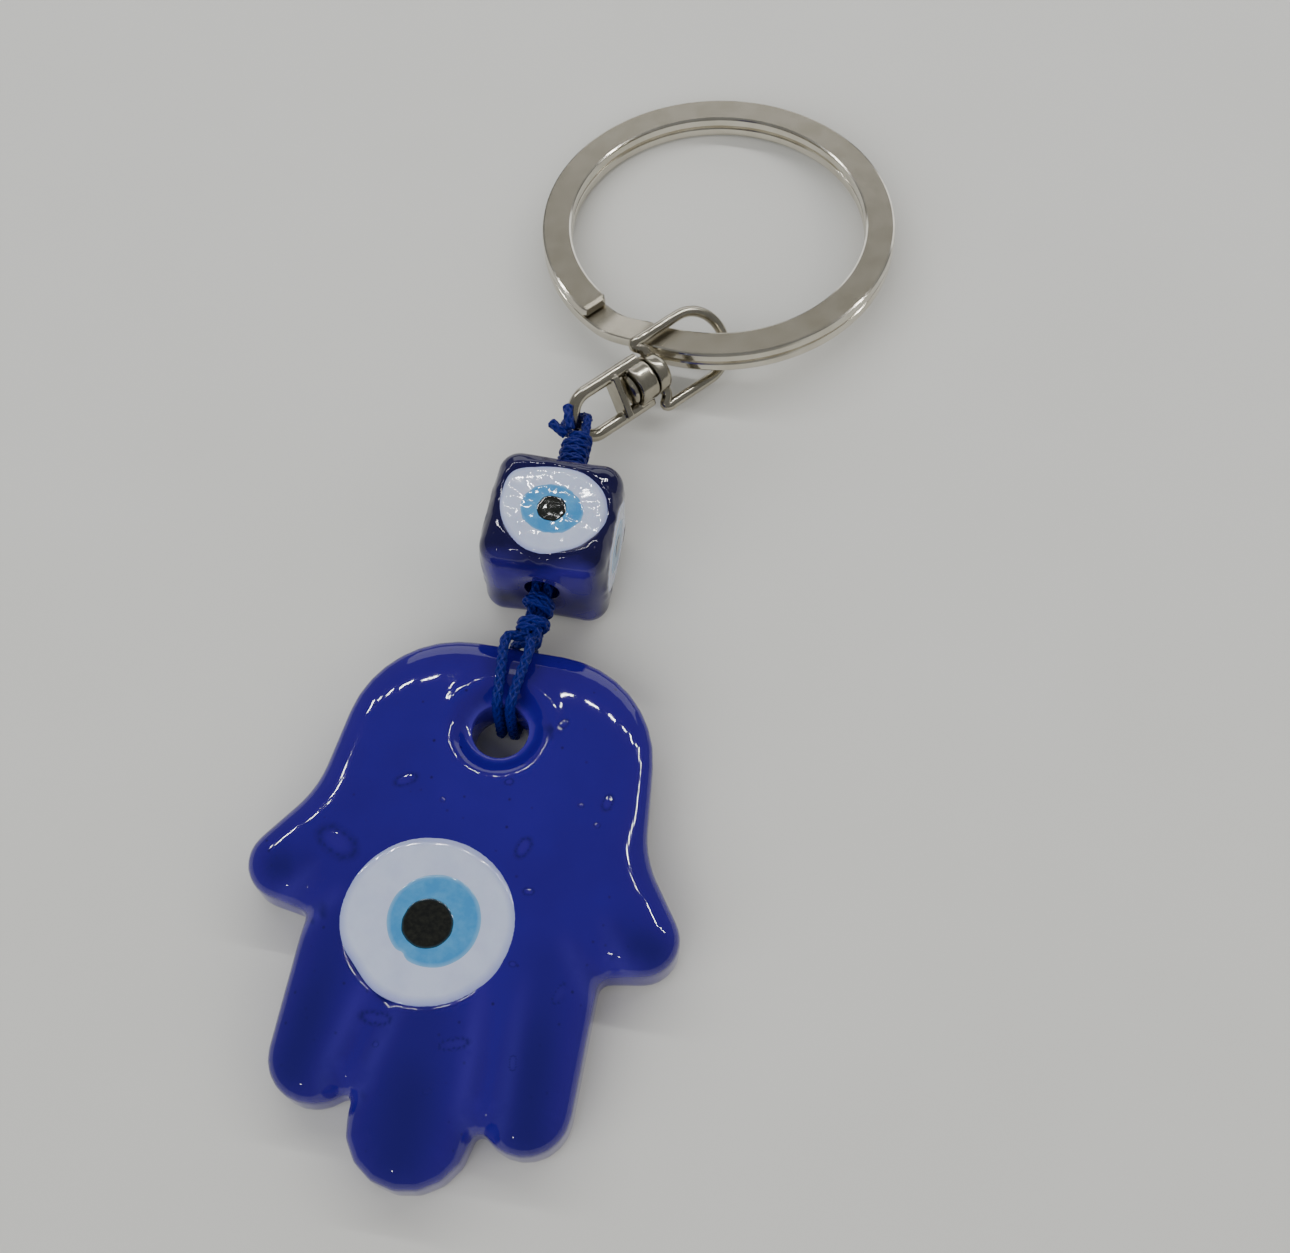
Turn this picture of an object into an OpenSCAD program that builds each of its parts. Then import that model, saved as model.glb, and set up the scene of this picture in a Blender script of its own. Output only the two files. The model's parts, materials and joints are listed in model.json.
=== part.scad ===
// Evil eye ornament on a key ring: a glass hand with an inlaid eye, a cube bead with
// four eyes, knotted cord, a nickel swivel with a wire bail, and a flat split ring.
// It lies on its back. The origin is on the hand's flat back, behind the palm's centre.
// +Y runs from the hand to the ring, +Z is up. Units are millimetres.

/* [Glass hand] */
// Thickness of the hand
hand_t = 4.6; // [3.5:0.1:6]
// Width across the palm, above the thumbs
palm_w = 22.6; // [19:0.1:28]
// Reach of the crown above the palm's centre
crown_y = 20.2; // [17:0.1:25]
// Radius of the two shoulders of the crown
shoulder_r = 8.1; // [6:0.1:9]
// Reach of each thumb's tip from the centre line
thumb_reach = 15.4; // [14.5:0.1:19]
// Radius of a thumb's tip
thumb_r = 2.6; // [2:0.1:3]
// Height of the thumbs' tips, left then right
thumb_y = [1.3, 0.4];
// Radius of the hollow between the palm and a thumb
flare_r = 8; // [6:0.1:10]
// Width across the three fingers
finger_span = 20.8; // [18:0.1:25]
// Width of each outer finger
finger_w = 6.2; // [5:0.1:7.5]
// Reach of the outer fingers below the palm's centre, left then right
finger_y = [14.4, 15.2];
// Reach of the middle finger below the palm's centre
middle_y = 18.7; // [15.6:0.1:23]
// Radius of the web under a thumb
web_r = 0.8; // [0.5:0.1:1.2]
// Radius of the notch between two fingers
notch_r = 0.5; // [0.3:0.1:0.9]
// Radius of the melted front edge
edge_r = 1.5; // [0.8:0.1:2]
// Diameter of the cord hole
hole_d = 4.1; // [3:0.1:5]
// Height of the cord hole above the palm's centre
hole_y = 13.4; // [11:0.1:14.5]

/* [Hand eye] */
// Centre of the white glass on the palm
eye_at = [-1.75, -1.3];
// Radius of the white glass
eye_white_r = 6.0; // [4.5:0.1:7.2]
// Radius of the light blue glass
eye_iris_r = 3.3; // [2.4:0.1:4]
// Radius of the black glass
eye_pupil_r = 1.8; // [1.2:0.1:2.2]
// Depth of the white glass in the palm
eye_depth = 1.6; // [1.4:0.1:2]
// How far the eye stands proud at its centre
eye_dome = 0.45; // [0.2:0.05:0.6]

/* [Cube bead] */
// Side of the cube
bead_size = 9.7; // [8:0.1:12]
// Radius of its melted edges and corners
bead_edge_r = 1.6; // [1:0.1:2]
// Diameter of the hole for the cord
bead_bore_d = 2.7; // [2.5:0.1:3.2]
// Radius of the white glass on a face
bead_white_r = 3.5; // [2.8:0.1:3.8]
// Radius of the light blue glass on a face
bead_iris_r = 2.2; // [1.7:0.1:2.5]
// Radius of the black glass on a face
bead_pupil_r = 0.95; // [0.7:0.05:1.3]
// Depth of the white glass in a face
bead_eye_depth = 1.2; // [1:0.05:1.5]

/* [Cord and knots] */
// Diameter of the braided nylon cord
cord_d = 0.84; // [0.7:0.01:1]
// Length of each of the two knots under the bead
knot_len = 1.75; // [1.5:0.05:2.2]
// Radius of those knots at their bulge
knot_r = 1.35; // [1.2:0.05:1.5]
// Length of the wrapped knot over the bead
wrap_len = 4.5; // [4:0.1:5.5]
// Radius of the wrapped knot
wrap_r = 1.25; // [1.15:0.05:1.4]

/* [Swivel] */
// Distance from the cord's end of the D loop to the bail's pivot
swivel_len = 8.4; // [8:0.1:10]
// Distance between the centre lines of the two legs
leg_gap = 3.7; // [3.5:0.1:4.4]
// Diameter of the legs
leg_d = 1.1; // [0.9:0.05:1.3]
// Diameter of the barrel and the head
barrel_d = 3.5; // [3.2:0.1:4]
// Length of the barrel
barrel_len = 1.7; // [1.4:0.1:2]
// Diameter of the rivet's shank
shank_d = 1.5; // [1.2:0.1:1.8]
// Diameter of the rivet's closed end
rivet_d = 2.7; // [2.3:0.1:3]

/* [Wire bail] */
// Diameter of the wire
wire_d = 0.9; // [0.8:0.05:1.1]
// Distance between the bail's legs, centre to centre
bail_w = 5.8; // [5.6:0.1:7]
// Distance from the pivot to the middle of the bail's round end
bail_len = 7.1; // [6.8:0.1:8.6]

/* [Split ring] */
// Outside diameter
ring_od = 30; // [24:0.5:38]
// Width of the flat strip
strip_w = 2.5; // [2:0.1:2.8]
// Thickness of one turn of the strip
strip_t = 0.95; // [0.8:0.01:1.1]
// Gap between the two turns
strip_gap = 0.06; // [0.03:0.01:0.1]

/* [Fits] */
// Radial clearance of a turning pin in its hole
run_fit = 0.06; // [0.02:0.01:0.1]
// Gap between faces that pass each other
face_gap = 0.15; // [0.1:0.01:0.3]

/* [Hidden] */
$fn = 64;
cord_sides = 8;
arc_steps = 8;
wire_sides = 12;
bail_steps = 14;
tiny = 0.01;

// The hand leans on the cord that passes behind its crown, with a hair's gap on both sides.
cord_gap = 0.06;
hole_top_y = hole_y + hole_d / 2;
hand_tilt = asin((cord_d + 2 * cord_gap) / (middle_y + hole_top_y));
floor_z = -middle_y * sin(hand_tilt);

// The cord's own line, through both knots and the bead.
cord_x = 0.6;
cord_z = floor_z + bead_size / 2;
cord_r = cord_d / 2;
strand_off = cord_r + 0.03;
knot_y = crown_y + 0.8;
bead_y = knot_y + 2 * knot_len + face_gap;
bead_top_y = bead_y + bead_size;
wrap_y = bead_top_y + face_gap;
wrap_top_y = wrap_y + wrap_len;
bore_end_r = 1.1;

// The swivel hangs on the cord by the end of its D loop.
swivel_az = 39;
swivel_el = -4.5;
body_roll = 53;
bail_roll = 38;
loop_at = [0, wrap_top_y + 1.25, floor_z + 4.2];
axis_dir = [sin(swivel_az) * cos(swivel_el), cos(swivel_az) * cos(swivel_el), sin(swivel_el)];
pivot_at = loop_at + swivel_len * axis_dir;
cross_dir = [
    cos(swivel_az) * cos(body_roll) + sin(swivel_az) * sin(body_roll) * sin(swivel_el),
    -sin(swivel_az) * cos(body_roll) + cos(swivel_az) * sin(body_roll) * sin(swivel_el),
    -sin(body_roll) * cos(swivel_el)];
hitch_gap = 0.1;
hitch_from = 70;
hitch_step = 20;

leg_r = leg_d / 2;
wire_r = wire_d / 2;
corner_back = 0.6;
tip_turn_x = bail_w / 2 - 0.95;
tip_in_x = 0.5;
head_r = barrel_d / 2;
head_half = 0.75;
leg_end_y = -(corner_back + wire_r + face_gap);
barrel_y = -head_half - face_gap;
barrel_low_y = barrel_y - barrel_len;
rivet_t = 0.6;
rivet_y = barrel_low_y - face_gap / 2 - rivet_t;
plate_t = 0.6;
plate_y = rivet_y - 0.35 - plate_t;
bail_turn_y = bail_len - bail_w / 2;

// The ring lies with its far edge on the floor and its near edge lifted by the bail.
ring_r = ring_od / 2;
ring_mid_r = ring_r - strip_w / 2;
ring_t = 2 * strip_t + strip_gap;
ring_az = 1;
ring_high_az = 149;
pass_along = bail_len / 2 - 0.1;
pass_off = [0.1, -0.1, 0.3];
pass_at = pivot_at + pass_along * axis_dir + pass_off;
pass_h = pass_at[2] - floor_z;
ring_tilt = asin((pass_h - ring_t / 2) / (ring_mid_r * cos(180 + ring_az - ring_high_az) + ring_r));
ring_drop = ring_mid_r * cos(180 + ring_az - ring_high_az) * sin(ring_tilt);
ring_at = pass_at + [ring_mid_r * sin(ring_az), ring_mid_r * cos(ring_az), -ring_drop];
ring_chamfer = 0.18;
end_angle = 232;
ramp_low_angle = 236;
ramp_high_angle = 256;
tail_angle = 259;
ring_step = 4;

// Cord routes of the right-hand strand. Heights of the front one count from the palm's face.
front_route = [
    [0.45, 14.55, -1.00], [0.45, 14.65, 0.15], [0.50, 14.92, 0.85], [0.55, 15.60, 1.08],
    [0.75, 17.50, 1.08], [0.95, 19.30, 1.05], [0.80, 20.30, 0.75]];
back_route = [
    [0.45, 14.55, 1.50], [0.50, 14.70, 0.20], [0.55, 15.30, -0.05], [0.65, 16.50, -0.05],
    [0.85, 18.20, -0.05], [0.88, 19.90, -0.04], [0.85, 20.45, 0.15], [0.80, 20.80, 0.60],
    [0.75, 20.85, 1.40], [0.65, 20.80, 2.60]];

// Routes of the two cut ends, from the top of the wrapped knot.
wrap_top = [cord_x, wrap_top_y, cord_z];
short_end_route = [[-0.95, -0.60, 0.51], [-1.60, -0.30, 0.81], [-2.20, 0.10, 0.81]];
long_end_route = [[-0.65, -0.20, 0.91], [-0.95, 0.70, 1.21], [-1.20, 1.60, 1.11]];

FACES = [1, 2, 3, 4];

// ---- helpers ----

function unit(v) = v / norm(v);

// Direction of a line that leaves one circle and touches the next, left side on the centres.
function belt_dir(a, b) =
    let (lean = (b[2] - a[2]) / norm([b[0] - a[0], b[1] - a[1]]))
    atan2(b[1] - a[1], b[0] - a[0]) - asin(max(-1, min(1, lean)));

// Angle that the outline turns at a circle: left round a bulge, right round a hollow.
function belt_turn(from, to, bulge) =
    let (turn = (to - from + 720) % 360) bulge ? turn : turn - 360;

// Outline that runs round circles [x, y, r], hollow where r is negative, moved in by inset.
function belt(circles, inset = 0) =
    let (n = len(circles),
         dirs = [for (i = [0:n - 1]) belt_dir(circles[i], circles[(i + 1) % n])])
    [for (i = [0:n - 1])
        let (c = circles[i], r = c[2] - inset, from = dirs[(i + n - 1) % n],
             turn = belt_turn(from, dirs[i], c[2] > 0))
        for (k = [0:arc_steps])
            let (a = from + turn * k / arc_steps - 90) [c[0] + r * cos(a), c[1] + r * sin(a)]];

function tangents(p) = let (last = len(p) - 1)
    [for (i = [0:last]) i == 0 ? unit(p[1] - p[0]) : i == last ? unit(p[i] - p[i - 1])
        : unit(unit(p[i + 1] - p[i]) + unit(p[i] - p[i - 1]))];

function carried(t, u, i = 0) = i == len(t) ? []
    : let (v = unit(u - (u * t[i]) * t[i])) concat([v], carried(t, v, i + 1));

// Round cord swept along a route, closed at both ends.
module tube(p, d, s = cord_sides) {
    t = tangents(p);
    u = carried(t, abs(t[0][2]) < 0.8 ? [0, 0, 1] : [1, 0, 0]);
    n = len(p);
    points = [for (i = [0:n - 1]) for (k = [0:s - 1])
        let (a = 360 * k / s, w = cross(t[i], u[i])) p[i] + d / 2 * (cos(a) * u[i] + sin(a) * w)];
    walls = [for (i = [0:n - 2]) for (k = [0:s - 1])
        let (k2 = (k + 1) % s) [i * s + k, (i + 1) * s + k, (i + 1) * s + k2, i * s + k2]];
    polyhedron(points, concat(walls, [[for (k = [0:s - 1]) k]],
        [[for (k = [s - 1:-1:0]) (n - 1) * s + k]]));
}

module on_hand() rotate([hand_tilt, 0, 0]) children();

module on_cord(y) translate([cord_x, y, cord_z]) rotate([-90, 0, 0]) children();

module on_swivel(roll) translate(pivot_at)
    rotate([0, 0, -swivel_az]) rotate([swivel_el, 0, 0]) rotate([0, roll, 0]) children();

// A cylinder along the swivel's axis, between two places on it.
module along(y0, y1, r) translate([0, y0, 0]) rotate([-90, 0, 0]) cylinder(r = r, h = y1 - y0);

// ---- glass hand ----

// Circles round one side of the hand, from the web under the thumb up to the shoulder.
function upper_side(s, tip_y) =
    let (tip_x = thumb_reach - thumb_r,
         hollow_x = palm_w / 2 + 0.4 + flare_r,
         reach = flare_r + thumb_r,
         hollow_y = tip_y + sqrt(max(0, reach * reach - (hollow_x - tip_x) * (hollow_x - tip_x))) + 0.6)
    [[s * (finger_span / 2 + web_r), tip_y - thumb_r - web_r - 0.3, -web_r],
     [s * tip_x, tip_y, thumb_r],
     [s * hollow_x, hollow_y, -flare_r],
     [s * (palm_w / 2 - shoulder_r), crown_y - shoulder_r, shoulder_r]];

// Circles of one outer finger and of the notch beside the middle finger.
function outer_finger(s, reach) =
    let (r = finger_w / 2, x = finger_span / 2 - r, y = r - reach, notch_x = middle_r + notch_r)
    [[s * x, y, r],
     [s * notch_x, y - sqrt((r + notch_r) * (r + notch_r) - (x - notch_x) * (x - notch_x)), -notch_r]];

function reversed(a) = [for (i = [len(a) - 1:-1:0]) a[i]];

middle_r = finger_span / 2 - finger_w;
hand_circles = concat(
    upper_side(1, thumb_y[1]), reversed(upper_side(-1, thumb_y[0])),
    outer_finger(-1, finger_y[0]), [[0, middle_r - middle_y, middle_r]],
    reversed(outer_finger(1, finger_y[1])));

// Heights of the steps that round the front edge, as shares of its radius.
edge_steps = [0, 0.3, 0.55, 0.75, 0.9, 1];

module hand_glass() color("mediumblue") on_hand() difference() {
    for (s = edge_steps)
        linear_extrude(hand_t - edge_r + edge_r * s)
            polygon(belt(hand_circles, edge_r * (1 - sqrt(1 - s * s)) * 0.8));
    translate([0, hole_y, -1]) cylinder(d = hole_d, h = hand_t + 2);
    translate([eye_at[0], eye_at[1], hand_t - eye_depth]) cylinder(r = eye_white_r, h = eye_depth + 1);
}

// One layer of the palm's eye: a disc cut off by the shallow dome that all its layers share.
module eye_layer(r, off, depth) {
    dome_r = (eye_white_r * eye_white_r + eye_dome * eye_dome) / (2 * eye_dome);
    translate([eye_at[0], eye_at[1], 0]) intersection() {
        translate([off[0], off[1], hand_t - depth]) cylinder(r = r, h = depth + 2 * eye_dome);
        translate([0, 0, hand_t + eye_dome - dome_r]) sphere(r = dome_r, $fn = 128);
    }
}

iris_off = [0.5, 0];
pupil_off = [0.15, -0.3];
iris_depth = eye_depth - 0.5;
pupil_depth = iris_depth - 0.5;

module pocket(r, off, depth)
    translate([eye_at[0] + off[0], eye_at[1] + off[1], hand_t - depth]) cylinder(r = r, h = depth + 2);

module hand_eye_white() color("white") on_hand() difference() {
    eye_layer(eye_white_r, [0, 0], eye_depth);
    pocket(eye_iris_r, iris_off, iris_depth);
}

module hand_eye_iris() color("skyblue") on_hand() difference() {
    eye_layer(eye_iris_r, iris_off, iris_depth);
    pocket(eye_pupil_r, pupil_off, pupil_depth);
}

module hand_eye_pupil() color("black") on_hand() eye_layer(eye_pupil_r, pupil_off, pupil_depth);

// ---- cord and knots ----

// One strand of the loop: up from a knot, through the hand's hole and back behind the crown.
function loop_route(s) =
    let (front = [for (p = front_route) [p[0] * s, p[1], p[2] + hand_t]],
         back = [for (p = back_route) [p[0] * s, p[1], p[2]]],
         x = cord_x + s * strand_off)
    concat([[x, knot_y, cord_z + strand_off], [x, knot_y - 0.3, cord_z + strand_off]],
        reversed(front), back,
        [[x, knot_y - 0.3, cord_z - strand_off], [x, knot_y, cord_z - strand_off]]);

module hand_loop(s) color("royalblue") tube(loop_route(s), cord_d);

// A knot: a bulge between two flat ends.
module bulge(len, r) rotate_extrude()
    polygon([[0, 0], [bore_end_r, 0], [r, len * 0.3], [r, len * 0.7], [bore_end_r, len], [0, len]]);

module knot_lower() color("royalblue") on_cord(knot_y) bulge(knot_len, knot_r);

module knot_middle() color("royalblue") on_cord(knot_y + knot_len) bulge(knot_len, knot_r);

module cord_through(s) color("royalblue") on_cord(knot_y + 2 * knot_len)
    translate([s * strand_off, 0, 0]) cylinder(d = cord_d, h = wrap_y - knot_y - 2 * knot_len);

module knot_wrapped() color("royalblue") on_cord(wrap_y) {
    turns = floor(wrap_len / cord_d);
    pitch = wrap_len / turns;
    cylinder(r = wrap_r - cord_r, h = wrap_len);
    for (i = [0:turns - 1]) translate([0, 0, (i + 0.5) * pitch])
        rotate_extrude() translate([wrap_r - cord_r, 0]) circle(r = cord_r);
}

// The loop of cord round the end of the swivel's D, which turns in it.
module cord_hitch() color("royalblue") {
    knot_top = wrap_top - [0, cord_r, 0];
    to_knot = knot_top - loop_at;
    out = unit(to_knot - (to_knot * cross_dir) * cross_dir);
    over = cross(out, cross_dir);
    hitch_r = leg_r + cord_r + hitch_gap;
    tube(concat([knot_top + strand_off * [1, 0, 0]],
        [for (a = [hitch_from:hitch_step:360 - hitch_from]) loop_at + hitch_r * (cos(a) * out + sin(a) * over)],
        [knot_top - strand_off * [1, 0, 0]]), cord_d);
}

module cord_end_short() color("royalblue") translate(wrap_top) tube(short_end_route, cord_d);

module cord_end_long() color("royalblue") translate(wrap_top) tube(long_end_route, cord_d);

// ---- cube bead ----

bead_half = bead_size / 2;
bead_mid_y = bead_y + bead_half;

module bead_glass() color("darkblue") translate([cord_x, bead_mid_y, cord_z]) difference() {
    hull() for (x = [-1, 1], y = [-1, 1], z = [-1, 1])
        translate([x, y, z] * (bead_half - bead_edge_r)) sphere(r = bead_edge_r, $fn = 32);
    rotate([90, 0, 0]) cylinder(d = bead_bore_d, h = bead_size + 2, center = true);
    for (i = FACES) rotate([0, 90 * (i - 1), 0])
        translate([0, 0, bead_half - bead_eye_depth]) cylinder(r = bead_white_r, h = bead_eye_depth + 1);
}

// A disc of glass in the bead's face number i, with a pocket for the next one.
module bead_disc(i, r, depth, pocket_r = 0, pocket_depth = 0)
    translate([cord_x, bead_mid_y, cord_z]) rotate([0, 90 * (i - 1), 0]) difference() {
        translate([0, 0, bead_half - depth]) cylinder(r = r, h = depth);
        if (pocket_r > 0)
            translate([0, 0, bead_half - pocket_depth]) cylinder(r = pocket_r, h = pocket_depth + 1);
    }

bead_iris_depth = bead_eye_depth - 0.4;
bead_pupil_depth = bead_iris_depth - 0.4;

module bead_white(i) color("white") bead_disc(i, bead_white_r, bead_eye_depth, bead_iris_r, bead_iris_depth);

module bead_iris(i) color("skyblue") bead_disc(i, bead_iris_r, bead_iris_depth, bead_pupil_r, bead_pupil_depth);

module bead_pupil(i) color("black") bead_disc(i, bead_pupil_r, bead_pupil_depth);

// ---- swivel ----

module swivel_body() color("silver") on_swivel(body_roll) {
    arc_y = leg_gap / 2 - swivel_len;
    difference() {
        union() {
            for (s = [-1, 1]) translate([s * leg_gap / 2, 0, 0]) along(arc_y, leg_end_y, leg_r);
            along(barrel_low_y, barrel_y, barrel_d / 2);
            translate([-leg_gap / 2, plate_y, -leg_r * 1.6]) cube([leg_gap, plate_t, leg_r * 3.2]);
        }
        along(plate_y + plate_t, leg_end_y + 1, shank_d / 2 + run_fit);
        along(plate_y + plate_t, barrel_low_y, rivet_d / 2 + run_fit);
        along(barrel_y, leg_end_y + 1, head_r + face_gap);
    }
    translate([0, arc_y, 0]) rotate([0, 0, 180]) rotate_extrude(angle = 180)
        translate([leg_gap / 2, 0]) circle(r = leg_r);
}

module swivel_head() color("silver") on_swivel(bail_roll) difference() {
    union() {
        intersection() {
            along(-head_half, head_half, head_r);
            translate([0, -head_half, 0]) sphere(r = head_r * 1.08);
        }
        along(rivet_y, -head_half + tiny, shank_d / 2);
    }
    rotate([0, 90, 0]) cylinder(r = wire_r + run_fit, h = 2 * head_r + 2, center = true);
}

module swivel_rivet() color("silver") on_swivel(bail_roll) difference() {
    along(rivet_y, rivet_y + rivet_t, rivet_d / 2);
    along(rivet_y - 1, rivet_y + rivet_t + 1, shank_d / 2);
}

// The wire outside the head: sloping shoulders, straight legs and a half round end.
bail_route = concat([[-tip_turn_x, 0, 0], [-bail_w / 2, -corner_back, 0]],
    [for (k = [0:bail_steps]) let (a = 180 * (1 - k / bail_steps))
        [bail_w / 2 * cos(a), bail_turn_y + bail_w / 2 * sin(a), 0]],
    [[bail_w / 2, -corner_back, 0], [tip_turn_x, 0, 0]]);

module ring_bail() color("silver") on_swivel(bail_roll) {
    tube(bail_route, wire_d, wire_sides);
    for (s = [-1, 1]) translate([s * (tip_turn_x + 0.2), 0, 0]) rotate([0, -s * 90, 0])
        cylinder(r = wire_r, h = tip_turn_x + 0.2 - tip_in_x);
}

// ---- split ring ----

// Outline of the strip's section: radial place and height, with chamfered corners.
strip_outline = let (w = strip_w / 2, h = strip_t / 2, c = ring_chamfer)
    [[-w, -h + c], [-w, h - c], [-w + c, h], [w - c, h], [w, h - c], [w, -h + c], [w - c, -h], [-w + c, -h]];

// Height of the strip's middle: low, then up the slope, then high.
function strip_level(a) =
    let (share = (a - ramp_low_angle) / (ramp_high_angle - ramp_low_angle))
    (strip_t + strip_gap) * (min(1, max(0, share)) - 0.5);

module split_ring() color("silver") translate(ring_at)
    rotate(a = ring_tilt, v = [cos(ring_high_az), -sin(ring_high_az), 0]) {
        from = tail_angle - 360;
        to = end_angle + 360;
        n = round((to - from) / ring_step);
        m = len(strip_outline);
        points = [for (i = [0:n], p = strip_outline)
            let (a = from + (to - from) * i / n, r = ring_mid_r + p[0])
            [r * cos(a), r * sin(a), p[1] + strip_level(a)]];
        walls = [for (i = [0:n - 1], k = [0:m - 1])
            let (k2 = (k + 1) % m) [i * m + k, (i + 1) * m + k, (i + 1) * m + k2, i * m + k2]];
        polyhedron(points, concat(walls, [[for (k = [0:m - 1]) k]],
            [[for (k = [m - 1:-1:0]) n * m + k]]));
    }

// ---- nodes ----

hand_glass();
hand_eye_white();
hand_eye_iris();
hand_eye_pupil();
hand_loop(-1);  // hand_loop_left
hand_loop(1);  // hand_loop_right
knot_lower();
knot_middle();
cord_through(-1);  // cord_through_left
cord_through(1);  // cord_through_right
bead_glass();
for (i = FACES) {
    bead_white(i);
    bead_iris(i);
    bead_pupil(i);
}
knot_wrapped();
cord_hitch();
cord_end_short();
cord_end_long();
swivel_body();
swivel_head();
swivel_rivet();
ring_bail();
split_ring();
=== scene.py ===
import json
import math
import bpy
import bmesh
import numpy as np
from mathutils import Matrix, Vector, noise
from mathutils.geometry import delaunay_2d_cdt

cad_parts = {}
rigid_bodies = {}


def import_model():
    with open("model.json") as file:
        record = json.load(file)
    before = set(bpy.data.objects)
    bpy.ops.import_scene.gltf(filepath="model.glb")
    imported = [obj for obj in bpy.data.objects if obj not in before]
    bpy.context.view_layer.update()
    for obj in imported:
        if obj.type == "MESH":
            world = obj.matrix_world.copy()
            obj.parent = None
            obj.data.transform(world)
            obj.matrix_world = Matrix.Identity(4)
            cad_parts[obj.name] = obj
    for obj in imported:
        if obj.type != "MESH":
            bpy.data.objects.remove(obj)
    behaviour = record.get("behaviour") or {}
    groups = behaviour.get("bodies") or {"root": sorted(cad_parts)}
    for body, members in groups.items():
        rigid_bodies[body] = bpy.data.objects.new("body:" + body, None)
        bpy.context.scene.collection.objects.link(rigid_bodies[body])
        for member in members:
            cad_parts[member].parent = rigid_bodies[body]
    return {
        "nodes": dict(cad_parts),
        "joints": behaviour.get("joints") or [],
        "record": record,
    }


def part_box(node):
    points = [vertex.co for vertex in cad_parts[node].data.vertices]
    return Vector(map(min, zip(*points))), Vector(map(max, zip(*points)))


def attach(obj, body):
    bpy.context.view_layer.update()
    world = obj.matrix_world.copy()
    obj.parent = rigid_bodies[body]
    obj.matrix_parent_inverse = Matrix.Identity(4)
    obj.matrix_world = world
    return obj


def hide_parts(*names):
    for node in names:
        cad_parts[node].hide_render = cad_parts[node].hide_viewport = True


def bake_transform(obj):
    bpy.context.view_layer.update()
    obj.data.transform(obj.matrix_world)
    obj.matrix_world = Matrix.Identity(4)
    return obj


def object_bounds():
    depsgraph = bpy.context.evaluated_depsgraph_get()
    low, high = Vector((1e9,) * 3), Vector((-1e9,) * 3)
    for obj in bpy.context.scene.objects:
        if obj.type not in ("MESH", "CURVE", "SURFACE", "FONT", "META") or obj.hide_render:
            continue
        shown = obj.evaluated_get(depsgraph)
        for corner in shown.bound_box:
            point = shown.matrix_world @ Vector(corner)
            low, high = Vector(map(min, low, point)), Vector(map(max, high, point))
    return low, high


for old in list(bpy.data.objects):  # the start-up cube, lamp and camera
    bpy.data.objects.remove(old)
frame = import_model()
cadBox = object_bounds()
print("frame loaded")

scene = bpy.context.scene
mm = 0.001
nodes = frame["nodes"]
joints = {j["name"]: j for j in frame["joints"]}
mounts = {m["name"]: m for m in frame["record"]["mounts"]}


def srgb(code):
    parts = [int(code[i:i + 2], 16) / 255 for i in (1, 3, 5)]
    return tuple(c / 12.92 if c <= 0.04045 else ((c + 0.055) / 1.055) ** 2.4 for c in parts) + (1.0,)


def addNode(tree, kind, settings=None, links=None):
    # settings: attributes, or sockets by name or number; links: socket -> output socket
    node = tree.nodes.new(kind)
    for key, value in (settings or {}).items():
        if isinstance(key, str) and hasattr(node, key):
            setattr(node, key, value)
        else:
            node.inputs[key].default_value = value
    for key, source in (links or {}).items():
        tree.links.new(source, node.inputs[key])
    return node


def unit(v):
    return Vector(v).normalized()


def placed(points, matrix):
    return [matrix @ Vector(p) for p in points]


def newPiece(name, points, faces, body, finish, replaced=(), smooth=True, sharp=None):
    # points in mm in the frame
    mesh = bpy.data.meshes.new(name)
    mesh.from_pydata([Vector(p) * mm for p in points], [], faces)
    mesh.validate()
    mesh.polygons.foreach_set("use_smooth", [smooth] * len(mesh.polygons))
    if sharp:
        mesh.set_sharp_from_angle(angle=math.radians(sharp))
    return addPiece(name, mesh, body, finish, replaced)


def addPiece(name, mesh, body, finish, replaced=()):
    obj = bpy.data.objects.new(name, mesh)
    scene.collection.objects.link(obj)
    mesh.materials.clear()
    for item in finish if isinstance(finish, (list, tuple)) else [finish]:
        mesh.materials.append(item)
    if body:
        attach(obj, body)
    if replaced:
        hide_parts(*replaced)
    return obj


def meshOf(obj):
    # the evaluated shape as a plain mesh
    bpy.context.view_layer.update()
    graph = bpy.context.evaluated_depsgraph_get()
    mesh = bpy.data.meshes.new_from_object(obj.evaluated_get(graph))
    old = obj.data
    bpy.data.objects.remove(obj)
    if old.users == 0 and isinstance(old, bpy.types.Mesh):
        bpy.data.meshes.remove(old)
    return mesh


def looseObject(name, points, faces, edges=()):
    mesh = bpy.data.meshes.new(name)
    mesh.from_pydata([Vector(p) * mm for p in points], list(edges), faces)
    mesh.validate()
    obj = bpy.data.objects.new(name, mesh)
    scene.collection.objects.link(obj)
    return obj


def smoothPath(points, step=0.06):
    # a round curve through the points, in even steps
    p = [Vector(q) for q in points]
    p = [2 * p[0] - p[1]] + p + [2 * p[-1] - p[-2]]
    out = []
    for i in range(1, len(p) - 2):
        n = max(2, int((p[i + 1] - p[i]).length / step))
        for k in range(n):
            t = k / n
            a = 2 * p[i]
            b = (p[i + 1] - p[i - 1]) * t
            c = (2 * p[i - 1] - 5 * p[i] + 4 * p[i + 1] - p[i + 2]) * t * t
            d = (3 * p[i] - p[i - 1] - 3 * p[i + 1] + p[i + 2]) * t ** 3
            out.append((a + b + c + d) / 2)
    return out + [p[-2]]


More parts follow.
